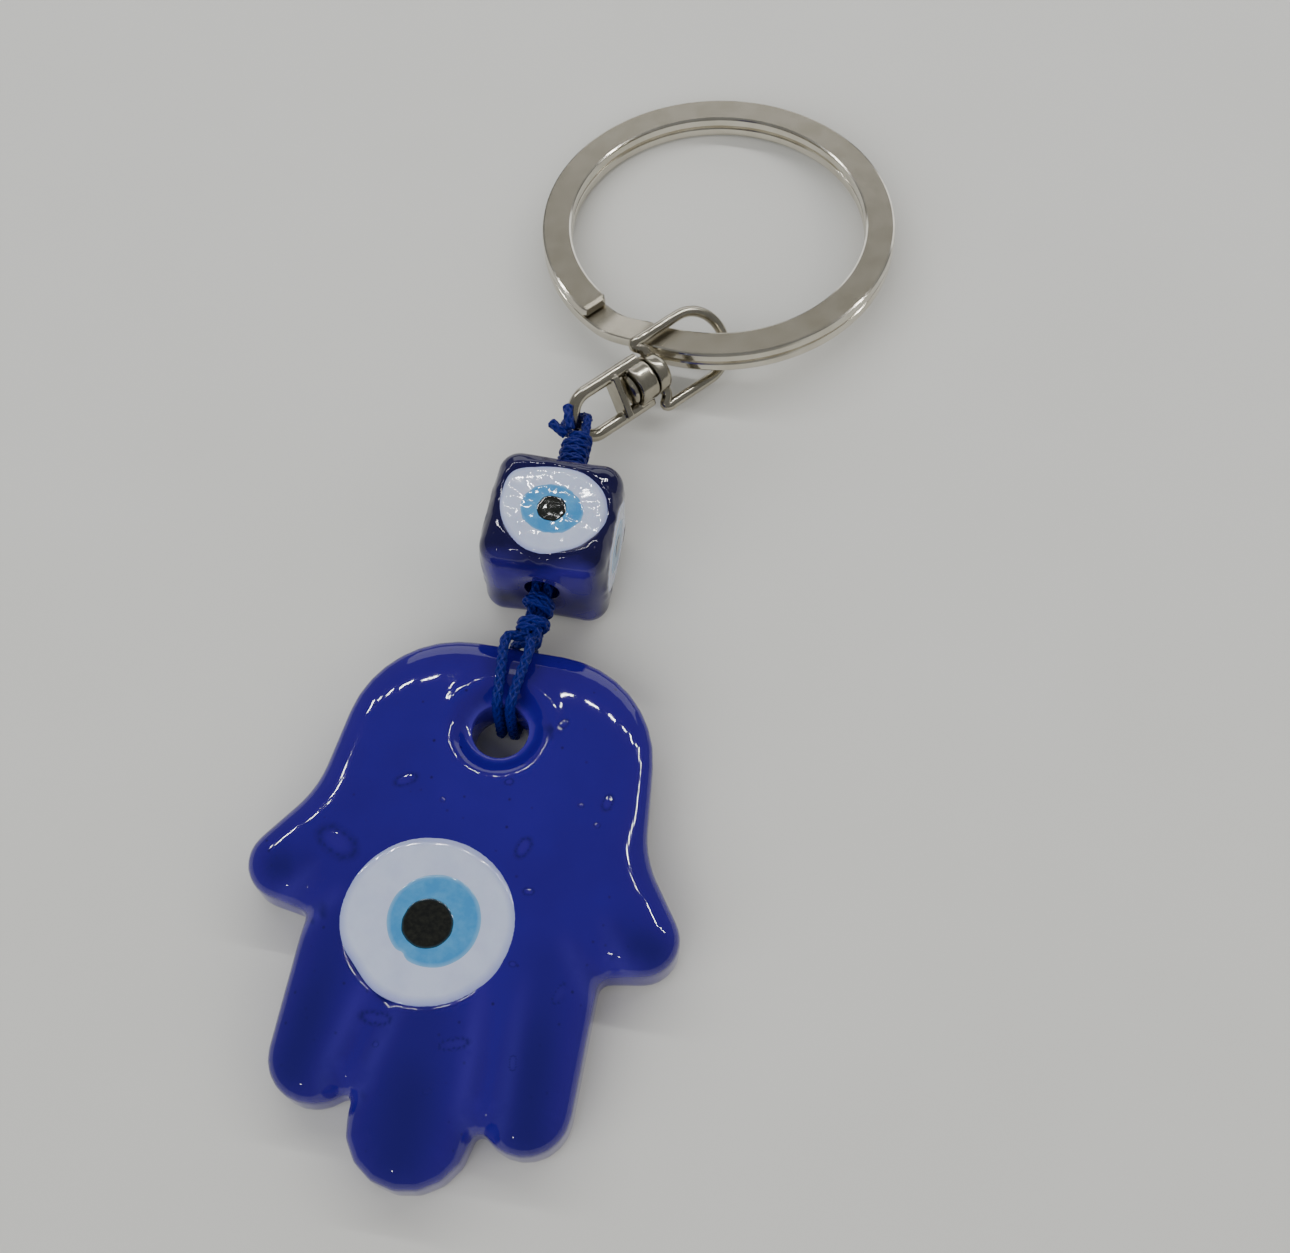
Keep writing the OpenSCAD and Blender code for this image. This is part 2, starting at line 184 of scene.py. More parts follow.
def sweep(path, section, up=(0, 0, 1)):
    # section: function of (share along, index) giving 2D points; ends are capped
    n = len(path)
    tangents = [unit(path[min(i + 1, n - 1)] - path[max(i - 1, 0)]) for i in range(n)]
    side = unit(Vector(up).cross(tangents[0]))
    points, faces = [], []
    for i, (p, t) in enumerate(zip(path, tangents)):
        side = unit(side - side.dot(t) * t)
        over = t.cross(side)
        ring = section(i / (n - 1))
        points += [p + x * side + y * over for x, y in ring]
    m = len(ring)
    for i in range(n - 1):
        for k in range(m):
            j = (k + 1) % m
            faces.append((i * m + k, i * m + j, (i + 1) * m + j, (i + 1) * m + k))
    faces.append(tuple(range(m))[::-1])
    faces.append(tuple((n - 1) * m + k for k in range(m)))
    return points, faces


def circle(radius, sides):
    turns = [2 * math.pi * k / sides for k in range(sides)]
    return [(radius * math.cos(t), radius * math.sin(t)) for t in turns]


def lathe(profile, matrix, sides=64):
    # profile: (radius, height) pairs along the matrix's y axis, from the low pole to the high one
    points, faces = [], []
    for r, y in profile:
        points += [matrix @ Vector((x, y, z)) for x, z in circle(r, sides)]
    for i in range(len(profile) - 1):
        for k in range(sides):
            j = (k + 1) % sides
            faces.append((i * sides + k, (i + 1) * sides + k, (i + 1) * sides + j, i * sides + j))
    faces.append(tuple(range(sides)))
    faces.append(tuple((len(profile) - 1) * sides + k for k in range(sides))[::-1])
    return points, faces


handUp = -unit(mounts["hand_back"]["axis"])
handTilt = math.atan2(-handUp.y, handUp.z)
handMatrix = Matrix.Rotation(handTilt, 4, "X")
beadMiddle = Vector(joints["bead_spin"]["pos_m"]) / mm
loopAt = Vector(joints["hitch_swing"]["pos_m"]) / mm
pivotAt = Vector(joints["head_spin"]["pos_m"]) / mm
ringAt = Vector(joints["ring_spin"]["pos_m"]) / mm
floorZ = cadBox[0].z / mm
swivelAxis = unit(joints["head_spin"]["axis"])


def swivelMatrix(jointName):
    cross = unit(joints[jointName]["axis"])
    cross = unit(cross - cross.dot(swivelAxis) * swivelAxis)
    turn = Matrix((cross, swivelAxis, cross.cross(swivelAxis))).transposed()
    return Matrix.Translation(pivotAt) @ turn.to_4x4()


bodyMatrix = swivelMatrix("hitch_swing")
bailMatrix = swivelMatrix("bail_swing")


view = {"lens": 47.44, "place": (18.935, -32.087, 116.74), "ahead": (-0.08109, 0.44059, -0.89404),
        "right": (0.9835, 0.1811, 0.0)}


def makeCamera():
    data = bpy.data.cameras.new("camera")
    data.lens, data.sensor_width, data.sensor_fit = view["lens"], 36.0, "HORIZONTAL"
    data.clip_start, data.clip_end = 0.005, 20
    camera = bpy.data.objects.new("camera", data)
    scene.collection.objects.link(camera)
    ahead, right = unit(view["ahead"]), unit(view["right"])
    turn = Matrix((right, right.cross(ahead), -ahead)).transposed()
    camera.matrix_world = Matrix.Translation(Vector(view["place"]) * mm) @ turn.to_4x4()
    scene.camera = camera


def areaLight(name, place, target, width, depth, power, tint, mirrored=True):
    # place and target in mm, power in watts; mirrored says if glass and metal reflect it
    data = bpy.data.lights.new(name, "AREA")
    data.shape, data.size, data.size_y = "RECTANGLE", width * mm, depth * mm
    data.energy, data.color = power, srgb(tint)[:3]
    lamp = bpy.data.objects.new(name, data)
    scene.collection.objects.link(lamp)
    lamp.visible_glossy = mirrored
    away = unit(Vector(target) - Vector(place))
    turn = away.to_track_quat("-Z", "Y").to_matrix().to_4x4()
    lamp.matrix_world = Matrix.Translation(Vector(place) * mm) @ turn


# half the floor's width, the row of short lamps, and the room's own light; in mm and watts
studio = {"floorHalf": 4000, "lamps": 14, "lampPitch": 50, "lampPower": 0.05, "room": 0.28}


def makeStudio():
    paper = bpy.data.materials.new("matt paper")  # a pale sheet with faint fibres
    paper.use_nodes = True
    tree = paper.node_tree
    shader = tree.nodes["Principled BSDF"]
    shader.inputs["Roughness"].default_value = 0.6
    shader.inputs["Specular IOR Level"].default_value = 0.3
    where = addNode(tree, "ShaderNodeTexCoord")
    fibres = addNode(tree, "ShaderNodeTexNoise", {"Scale": 60.0, "Detail": 3.0},
                     {"Vector": where.outputs["Object"]})
    tone = addNode(tree, "ShaderNodeMixRGB", {"Color1": srgb("#d3d3ce"), "Color2": srgb("#d9d9d5")},
                   {"Fac": fibres.outputs["Fac"]})
    tree.links.new(tone.outputs["Color"], shader.inputs["Base Color"])
    half = studio["floorHalf"]
    floor = looseObject("floor", [(-half, -half, floorZ), (half, -half, floorZ),
                                  (half, half, floorZ), (-half, half, floorZ)], [(0, 1, 2, 3)])
    floor.data.materials.append(paper)
    middle = (4, 25, 0)
    areaLight("softBox", (-350, -700, 650), middle, 1400, 1000, 9.6, "#ffffff", False)
    areaLight("sideBox", (700, -100, 450), middle, 600, 500, 1.5, "#fff6ea", False)
    areaLight("frontLamp", (-170, -480, 460), middle, 26, 26, 0.09, "#ffffff")
    areaLight("farPanel", (0, 650, 240), middle, 900, 300, 1.1, "#f4f6fa")
    for i in range(studio["lamps"]):  # a row of short lamps, whose mirror image breaks into dashes
        x = (i - (studio["lamps"] - 1) / 2) * studio["lampPitch"]
        areaLight(f"lamp_{i + 1}", (x, 215, 300), (x * 0.2, 10, 0), 24, 4.5, studio["lampPower"], "#ffffff")
    world = bpy.data.worlds.new("room")
    scene.world = world
    world.use_nodes = True
    world.node_tree.nodes["Background"].inputs["Color"].default_value = srgb("#e9ebec")
    world.node_tree.nodes["Background"].inputs["Strength"].default_value = studio["room"]


makeCamera()
makeStudio()
print("camera and light made")


def newMaterial(name, **settings):
    material = bpy.data.materials.new(name)
    material.use_nodes = True
    shader = material.node_tree.nodes["Principled BSDF"]
    for key, value in settings.items():
        shader.inputs[key.replace("_", " ")].default_value = value
    return material, material.node_tree, shader


def linkBump(tree, shader, height, distance, strength=1.0):
    # distance in mm
    bump = addNode(tree, "ShaderNodeBump", {"Strength": strength, "Distance": distance * mm},
                   {"Height": height})
    tree.links.new(bump.outputs["Normal"], shader.inputs["Normal"])


def perMm(size):
    # texture scale for a pattern that repeats every so many mm, on Object coordinates in metres
    return 1 / (size * mm)


def meltedGlass(name, deep, paleToneAndPaintedLight, clearness, seedTone, paintedLightTone, paintedShadeTone):
    # fire-polished soda glass: mirror-smooth skin over cloudy colour, with fine seeds in it;
    # painted light and shade: one mesh mask lightens the colour where light would come through the glass, and
    # the "thick" mask darkens it where light would be lost
    material, tree, shader = newMaterial(name, Roughness=0.045, IOR=1.51, Transmission_Weight=clearness,
                                         Coat_Weight=0.1, Coat_Roughness=0.03)
    where = addNode(tree, "ShaderNodeTexCoord").outputs["Object"]
    clouds = addNode(tree, "ShaderNodeTexNoise", {"Scale": perMm(9), "Detail": 3.0, "Roughness": 0.55},
                     {"Vector": where})
    veil = addNode(tree, "ShaderNodeMapRange", {"From Min": 0.35, "From Max": 0.68},
                   {"Value": clouds.outputs["Fac"]})
    body = addNode(tree, "ShaderNodeMixRGB", {"Color1": srgb(deep), "Color2": srgb(paleToneAndPaintedLight)},
                   {"Fac": veil.outputs["Result"]})
    seeds = addNode(tree, "ShaderNodeTexVoronoi", {"Scale": perMm(1.1), "Randomness": 1.0}, {"Vector": where})
    dots = addNode(tree, "ShaderNodeMapRange",
                   {"From Min": 0.05, "From Max": 0.14, "To Min": 0.75, "To Max": 0.0},
                   {"Value": seeds.outputs["Distance"]})
    patches = addNode(tree, "ShaderNodeTexNoise", {"Scale": perMm(6), "Detail": 1.0}, {"Vector": where})
    some = addNode(tree, "ShaderNodeMapRange", {"From Min": 0.44, "From Max": 0.56},
                   {"Value": patches.outputs["Fac"]})
    amount = addNode(tree, "ShaderNodeMath", {"operation": "MULTIPLY"},
                     {0: dots.outputs["Result"], 1: some.outputs["Result"]})
    colour = addNode(tree, "ShaderNodeMixRGB", {"Color2": srgb(seedTone)},
                     {"Fac": amount.outputs["Value"], "Color1": body.outputs["Color"]})
    # painted light: a lighter tone mixed in by the light mask; then painted shade: a darker tone mixed in by
    # the "thick" mask
    lean = addNode(tree, "ShaderNodeAttribute", {"attribute_name": "paleToneAndPaintedLight"})
    lit = addNode(tree, "ShaderNodeMixRGB", {"Color2": srgb(paintedLightTone)},
                  {"Fac": lean.outputs["Fac"], "Color1": colour.outputs["Color"]})
    thick = addNode(tree, "ShaderNodeAttribute", {"attribute_name": "thick"})
    dim = addNode(tree, "ShaderNodeMixRGB", {"Color2": srgb(paintedShadeTone)},
                  {"Fac": thick.outputs["Fac"], "Color1": lit.outputs["Color"]})
    tree.links.new(dim.outputs["Color"], shader.inputs["Base Color"])
    waves = addNode(tree, "ShaderNodeTexNoise", {"Scale": perMm(2.6), "Detail": 2.0}, {"Vector": where})
    linkBump(tree, shader, waves.outputs["Fac"], 0.05, 0.35)
    return material


def opalGlass(name, tone, shade, border, grain, softness):
    # opaque glass melted flat: glossy, and at its rim it runs into the glass next to it
    material, tree, shader = newMaterial(name, Roughness=0.07, IOR=1.5, Subsurface_Weight=softness,
                                         Subsurface_Scale=0.4 * mm, Coat_Weight=0.3, Coat_Roughness=0.04)
    where = addNode(tree, "ShaderNodeTexCoord").outputs["Object"]
    blots = addNode(tree, "ShaderNodeTexNoise", {"Scale": perMm(grain), "Detail": 4.0, "Roughness": 0.6},
                    {"Vector": where})
    share = addNode(tree, "ShaderNodeMapRange", {"From Min": 0.4, "From Max": 0.7},
                    {"Value": blots.outputs["Fac"]})
    colour = addNode(tree, "ShaderNodeMixRGB", {"Color1": srgb(tone), "Color2": srgb(shade)},
                     {"Fac": share.outputs["Result"]})
    rim = addNode(tree, "ShaderNodeAttribute", {"attribute_name": "rim"})
    run = addNode(tree, "ShaderNodeMapRange", {"From Min": 0.88, "From Max": 1.0, "To Max": 0.8},
                  {"Value": rim.outputs["Fac"]})
    melted = addNode(tree, "ShaderNodeMixRGB", {"Color2": srgb(border)},
                     {"Fac": run.outputs["Result"], "Color1": colour.outputs["Color"]})
    tree.links.new(melted.outputs["Color"], shader.inputs["Base Color"])
    waves = addNode(tree, "ShaderNodeTexNoise", {"Scale": perMm(1.8), "Detail": 2.0}, {"Vector": where})
    linkBump(tree, shader, waves.outputs["Fac"], 0.04, 0.3)
    return material


def nylonBraid():
    # spun nylon, satin: a deep blue with a lighter blue mixed in by wave stripes on the "fibre" attribute
    # times a noise; the lighter blue is a painted highlight
    material, tree, shader = newMaterial("nylon braid", Roughness=0.42, IOR=1.53, Specular_IOR_Level=0.25)
    where = addNode(tree, "ShaderNodeTexCoord").outputs["Object"]
    along = addNode(tree, "ShaderNodeAttribute", {"attribute_name": "fibre"})
    stripes = addNode(tree, "ShaderNodeTexWave", {"Scale": 2.2, "Distortion": 1.5, "Detail": 2.0},
                      {"Vector": along.outputs["Vector"]})
    blots = addNode(tree, "ShaderNodeTexNoise", {"Scale": perMm(0.5), "Detail": 3.0}, {"Vector": where})
    mix = addNode(tree, "ShaderNodeMath", {"operation": "MULTIPLY"},
                  {0: stripes.outputs["Fac"], 1: blots.outputs["Fac"]})
    paintedSheen = addNode(tree, "ShaderNodeMapRange", {"From Min": 0.22, "From Max": 0.5},
                    {"Value": mix.outputs["Value"]})
    colour = addNode(tree, "ShaderNodeMixRGB", {"Color1": srgb("#07136a"), "Color2": srgb("#3a78dc")},
                     {"Fac": paintedSheen.outputs["Result"]})
    tree.links.new(colour.outputs["Color"], shader.inputs["Base Color"])
    linkBump(tree, shader, stripes.outputs["Fac"], 0.02, 0.6)
    return material


def nickel(name, tone, worn, roughness, scratchMm):
    # bright nickel plate: warm grey mirror with hairline scratches and dull patches
    material, tree, shader = newMaterial(name, Metallic=1.0)
    where = addNode(tree, "ShaderNodeTexCoord").outputs["Object"]
    blots = addNode(tree, "ShaderNodeTexNoise", {"Scale": perMm(2.4), "Detail": 4.0, "Roughness": 0.6},
                    {"Vector": where})
    share = addNode(tree, "ShaderNodeMapRange", {"From Min": 0.4, "From Max": 0.68},
                    {"Value": blots.outputs["Fac"]})
    colour = addNode(tree, "ShaderNodeMixRGB", {"Color1": srgb(tone), "Color2": srgb(worn)},
                     {"Fac": share.outputs["Result"]})
    tree.links.new(colour.outputs["Color"], shader.inputs["Base Color"])
    stretch = addNode(tree, "ShaderNodeMapping", {"Rotation": (0, 0, 0.6), "Scale": (1, 0.08, 1)},
                      {"Vector": where})
    hairs = addNode(tree, "ShaderNodeTexNoise", {"Scale": perMm(scratchMm), "Detail": 2.0},
                    {"Vector": stretch.outputs["Vector"]})
    gloss = addNode(tree, "ShaderNodeMapRange", {"To Min": roughness * 0.92, "To Max": roughness * 1.1},
                    {"Value": hairs.outputs["Fac"]})
    tree.links.new(gloss.outputs["Result"], shader.inputs["Roughness"])
    linkBump(tree, shader, hairs.outputs["Fac"], 0.01, 0.03)
    return material


cobaltGlass = meltedGlass("cobalt glass, fire polished", "#1f0078", "#240482", 0.10,
                          "#0a0040", "#3f2f9c", "#0f005e")
midnightGlass = meltedGlass("deep cobalt glass, fire polished", "#060038", "#0a0044", 0.14,
                            "#030024", "#322288", "#020028")
milkGlass = opalGlass("white opal glass", "#bfc9e2", "#b4bedb", "#7f86c8", 2.2, 0.12)
skyGlass = opalGlass("light blue opal glass", "#3a86c0", "#4e98ca", "#86b4d6", 1.1, 0.05)
blackGlass = opalGlass("black glass", "#060807", "#1d1e18", "#1f4a60", 0.35, 0.0)
nylon = nylonBraid()
castNickel = nickel("bright nickel on cast zinc", "#b9b3a3", "#a49e8e", 0.18, 0.10)
rolledNickel = nickel("bright nickel on rolled strip", "#b6af9e", "#aba492", 0.25, 0.14)
# the edge nickel is polished (lower roughness) and also painted lighter than the rolled strip, as a painted
# highlight
edgeNickelPaintedHighlight = nickel("polished nickel edge, painted highlight", "#d8d3c6", "#c9c3b4", 0.12, 0.10)
print("materials made")


def outlineLoops(nodeName, down):
    # loops of edges between a node's flat back and its walls, the longest first
    bm = bmesh.new()
    bm.from_mesh(nodes[nodeName].data)
    bmesh.ops.remove_doubles(bm, verts=bm.verts, dist=2e-7)
    bm.normal_update()
    nexts = {}
    for face in bm.faces:
        if face.normal.dot(down) < 0.999:
            continue
        for loop in face.loops:
            other = [f for f in loop.edge.link_faces if f != face]
            if other and other[0].normal.dot(down) < 0.7:
                nexts[loop.vert.index] = loop.link_loop_next.vert.index
    bm.verts.ensure_lookup_table()
    loops = []
    while nexts:
        start, here = next(iter(nexts.items()))
        del nexts[start]
        chain = [start]
        while here in nexts:
            chain.append(here)
            here = nexts.pop(here)
        loops.append([bm.verts[i].co / mm for i in chain])
    bm.free()
    return sorted(loops, key=len, reverse=True)


hand = {
    "sideRise": 1.75,      # height of the rounding at the rim, under the palm's level
    "sideWidth": 3.3,      # how far in from the rim it reaches
    "backRound": 0.45,     # the small rounding at the back
    "grid": 0.33,          # spacing of points on the palm
    "edgeStep": 0.28,      # spacing of points along the rim and round the hole
    "rimRings": (0.03, 0.12, 0.28, 0.5, 0.8, 1.15, 1.55, 2.0),         # rings of points inside the rim
    "holeRings": (0.05, 0.15, 0.3, 0.5, 0.75, 1.05, 1.35, 1.65),       # and round the hole
    "wallLevels": 5,
    "pocketDepth": 0.7, "pocketInset": 0.75, "pocketSlope": 0.6,       # the seat under the eye
    "crownWidth": 3.4,     # how much further in it reaches at the crown
    "dishRadius": 3.9, "dishDepth": 0.9, "dishLip": 0.16,      # the dish round the cord hole
    # start, end, half width and depth of each groove that runs up from between two fingers
    "grooves": [((-4.75, -12.4), (-3.0, -4.2), 0.95, 0.75), ((4.75, -13.0), (4.1, -2.4), 0.95, 0.75),
                ((-10.9, -2.0), (-8.6, 1.2), 0.9, 0.6), ((10.9, -3.0), (8.2, 0.8), 1.0, 0.6)],
    # start and end of the thick middle of each finger and thumb, and its half width; painted shade darkens
    # the glass along them
    "thick": [((-7.4, -2.6), (-8.2, -12.6), 1.9), ((-0.4, -8.0), (0.0, -16.6), 2.8),
              ((7.0, -3.0), (7.8, -13.8), 1.9), ((11.4, 0.2), (13.6, -0.6), 1.5),
              ((-11.5, 1.0), (-12.8, 0.6), 1.3)],
    "bubbles": [(-9.2, 3.0, 1.5, 0.85, -25), (-5.6, 8.3, 0.8, 0.4, 30), (3.6, 4.9, 0.75, 0.45, 70),
                (4.6, 1.9, 0.38, 0.25, 5), (8.3, 7.4, 0.22, 0.2, 0), (8.7, 9.2, 0.6, 0.35, 80),
                (-3.6, -8.3, 1.0, 0.4, 0), (1.9, -9.1, 0.95, 0.35, 20), (8.1, -4.6, 0.75, 0.35, 70),
                (-9.3, -2.2, 0.65, 0.4, 75), (4.9, -16.0, 0.45, 0.6, 15), (-3.2, -13.2, 0.28, 0.22, 0),
                (0.9, -12.4, 0.3, 0.2, 30), (-3.2, -10.0, 0.22, 0.2, 0), (6.9, 8.6, 0.2, 0.16, 0),
                (3.4, 13.6, 0.5, 0.3, 20), (4.5, 14.4, 0.4, 0.25, 60), (-2.7, 7.3, 0.18, 0.18, 0),
                (2.6, -2.6, 0.4, 0.25, 50), (4.6, -3.2, 0.25, 0.2, 0), (6.0, -9.6, 0.25, 0.5, 10),
                (10.9, -1.4, 0.4, 0.2, 40), (-9.9, -12.7, 0.22, 0.3, 0), (1.6, 9.4, 0.3, 0.2, 20)],
}


def evenLoop(loop, step):
    # the closed line in even steps, in the hand's own plane
    p = np.array([(q.x, q.y) for q in loop])
    d = np.linalg.norm(np.roll(p, -1, 0) - p, axis=1)
    s = np.concatenate([[0], np.cumsum(d)])
    n = int(s[-1] / step)
    t = np.linspace(0, s[-1], n, endpoint=False)
    closed = np.vstack([p, p[:1]])
    return np.column_stack([np.interp(t, s, closed[:, i]) for i in (0, 1)])


def inwardNormals(p):
    t = np.roll(p, -1, 0) - np.roll(p, 1, 0)
    t /= np.linalg.norm(t, axis=1)[:, None]
    area = np.sum(p[:, 0] * np.roll(p[:, 1], -1) - np.roll(p[:, 0], -1) * p[:, 1])
    n = np.column_stack([-t[:, 1], t[:, 0]]) * (1 if area > 0 else -1)
    for _ in range(2):
        n = n + np.roll(n, 1, 0) + np.roll(n, -1, 0)
    return n / np.linalg.norm(n, axis=1)[:, None]


def distanceTo(points, loop):
    # distance of each point from a closed line
    a, b = loop, np.roll(loop, -1, 0)
    ab = b - a
    best = np.full(len(points), 1e9)
    for i in range(len(a)):
        ap = points - a[i]
        t = np.clip(ap @ ab[i] / (ab[i] @ ab[i]), 0, 1)
        best = np.minimum(best, np.linalg.norm(ap - t[:, None] * ab[i], axis=1))
    return best


def insideOf(points, loop):
    x, y = points[:, 0], points[:, 1]
    inside = np.zeros(len(points), bool)
    for (x1, y1), (x2, y2) in zip(loop, np.roll(loop, -1, 0)):
        crosses = (y1 > y) != (y2 > y)
        inside ^= crosses & (x < (x2 - x1) * (y - y1) / (y2 - y1 + 1e-12) + x1)
    return inside


def ease(x):
    x = np.clip(x, 0, 1)
    return x * x * (3 - 2 * x)


def bubbleReach(p, x, y, a, b, angle):
    # how far out from a bubble's middle: 1 on its skin
    c, s = math.cos(math.radians(angle)), math.sin(math.radians(angle))
    u = ((p[:, 0] - x) * c + (p[:, 1] - y) * s) / a
    v = (-(p[:, 0] - x) * s + (p[:, 1] - y) * c) / b
    return np.sqrt(u * u + v * v)


def frontHeight(p, rimDistance, holeDistance, thickness):
    # height of the palm's melted surface
    width = hand["sideWidth"] + hand["crownWidth"] * ease((p[:, 1] - 3) / 9)
    share = np.clip(1 - rimDistance / width, 0, 1)
    z = thickness - hand["sideRise"] * (1 - (1 - share ** 2.3) ** (1 / 2.3))
    reach = hand["dishRadius"] - holeRadius
    z -= hand["dishDepth"] * ease(1 - holeDistance / reach) ** 1.3
    z += hand["dishLip"] * np.exp(-((holeDistance - reach) / 0.5) ** 2)
    for (x0, y0), (x1, y1), width, depth in hand["grooves"]:
        a, d = np.array([x0, y0]), np.array([x1 - x0, y1 - y0])
        t = np.clip((p - a) @ d / (d @ d), -0.25, 1.0)
        off = np.linalg.norm(p - a - t[:, None] * d, axis=1)
        z -= depth * np.exp(-(off / width) ** 2) * (1 - ease((t - 0.15) / 0.85))
    for x, y, a, b, angle in hand["bubbles"]:
        rho = bubbleReach(p, x, y, a, b, angle)
        swell = 0.5 * np.exp(-(rho / 0.7) ** 2) - np.exp(-((rho - 1.0) / 0.22) ** 2)
        z += 0.05 * min(a, b) / 0.35 * swell
    return z


def near(p, start, end):
    # how far along a line each point is, from 0 to 1, and how far off it
    a, d = np.array(start), np.array(end) - np.array(start)
    t = np.clip((p - a) @ d / (d @ d), 0, 1)
    return t, np.linalg.norm(p - a - t[:, None] * d, axis=1)


def handPaintedLightAndShade(p, rimDistance, holeDistance):
    # painted light and shade for the glass colour: lighter where light would come through (rims, the hole,
    # beside grooves, bubble middles), darker as painted shade in thick middles and on the skins of bubbles
    paleToneAndPaintedLight = 0.15 * np.exp(-(rimDistance / 0.8) ** 2) + 0.9 * np.exp(-(holeDistance / 0.4) ** 2)
    thick = np.zeros(len(p))
    for start, end, width, depth in hand["grooves"]:
        t, off = near(p, start, end)
        ridge = np.exp(-((off - 1.5 * width) / (0.6 * width)) ** 2)
        paleToneAndPaintedLight += 0.5 * depth * ridge * (1 - ease((t - 0.35) / 0.65))
    for start, end, width in hand["thick"]:
        t, off = near(p, start, end)
        thick = np.maximum(thick, np.exp(-(off / width) ** 2) * (0.45 + 0.4 * ease(t * 1.5)))
    for x, y, a, b, angle in hand["bubbles"]:
        rho = bubbleReach(p, x, y, a, b, angle)
        thick = np.maximum(thick, 0.9 * np.exp(-((rho - 1.0) / 0.16) ** 2))
        paleToneAndPaintedLight += 0.18 * np.exp(-(rho / 0.6) ** 2)
    return np.clip(paleToneAndPaintedLight, 0, 1), np.clip(thick, 0, 1)


def bubbleRings():
    points = []
    for x, y, a, b, angle in hand["bubbles"]:
        c, s = math.cos(math.radians(angle)), math.sin(math.radians(angle))
        for rho in (0.35, 0.65, 0.85, 1.0, 1.15, 1.4):
            for k in range(14):
                t = 2 * math.pi * (k + 0.5 * (rho > 0.9)) / 14
                u, v = a * rho * math.cos(t), b * rho * math.sin(t)
                points.append((x + u * c - v * s, y + u * s + v * c))
    return np.array(points)


untilt = handMatrix.inverted()
backLoops = [[untilt @ p for p in loop] for loop in outlineLoops("hand_glass", -handUp)]
rim = evenLoop(backLoops[0], hand["edgeStep"])
holeLine = evenLoop(backLoops[1], hand["edgeStep"])
holeMiddle = holeLine.mean(0)
holeRadius = float(np.linalg.norm(holeLine - holeMiddle, axis=1).mean())
handTop = max((untilt @ Vector(v.co)).z for v in nodes["hand_glass"].data.vertices) / mm
eyeBox = [untilt @ (corner / mm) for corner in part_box("hand_eye_white")]
eyeMiddle = np.array([(eyeBox[0].x + eyeBox[1].x) / 2, (eyeBox[0].y + eyeBox[1].y) / 2])
eyeRadius = (eyeBox[1].x - eyeBox[0].x) / 2


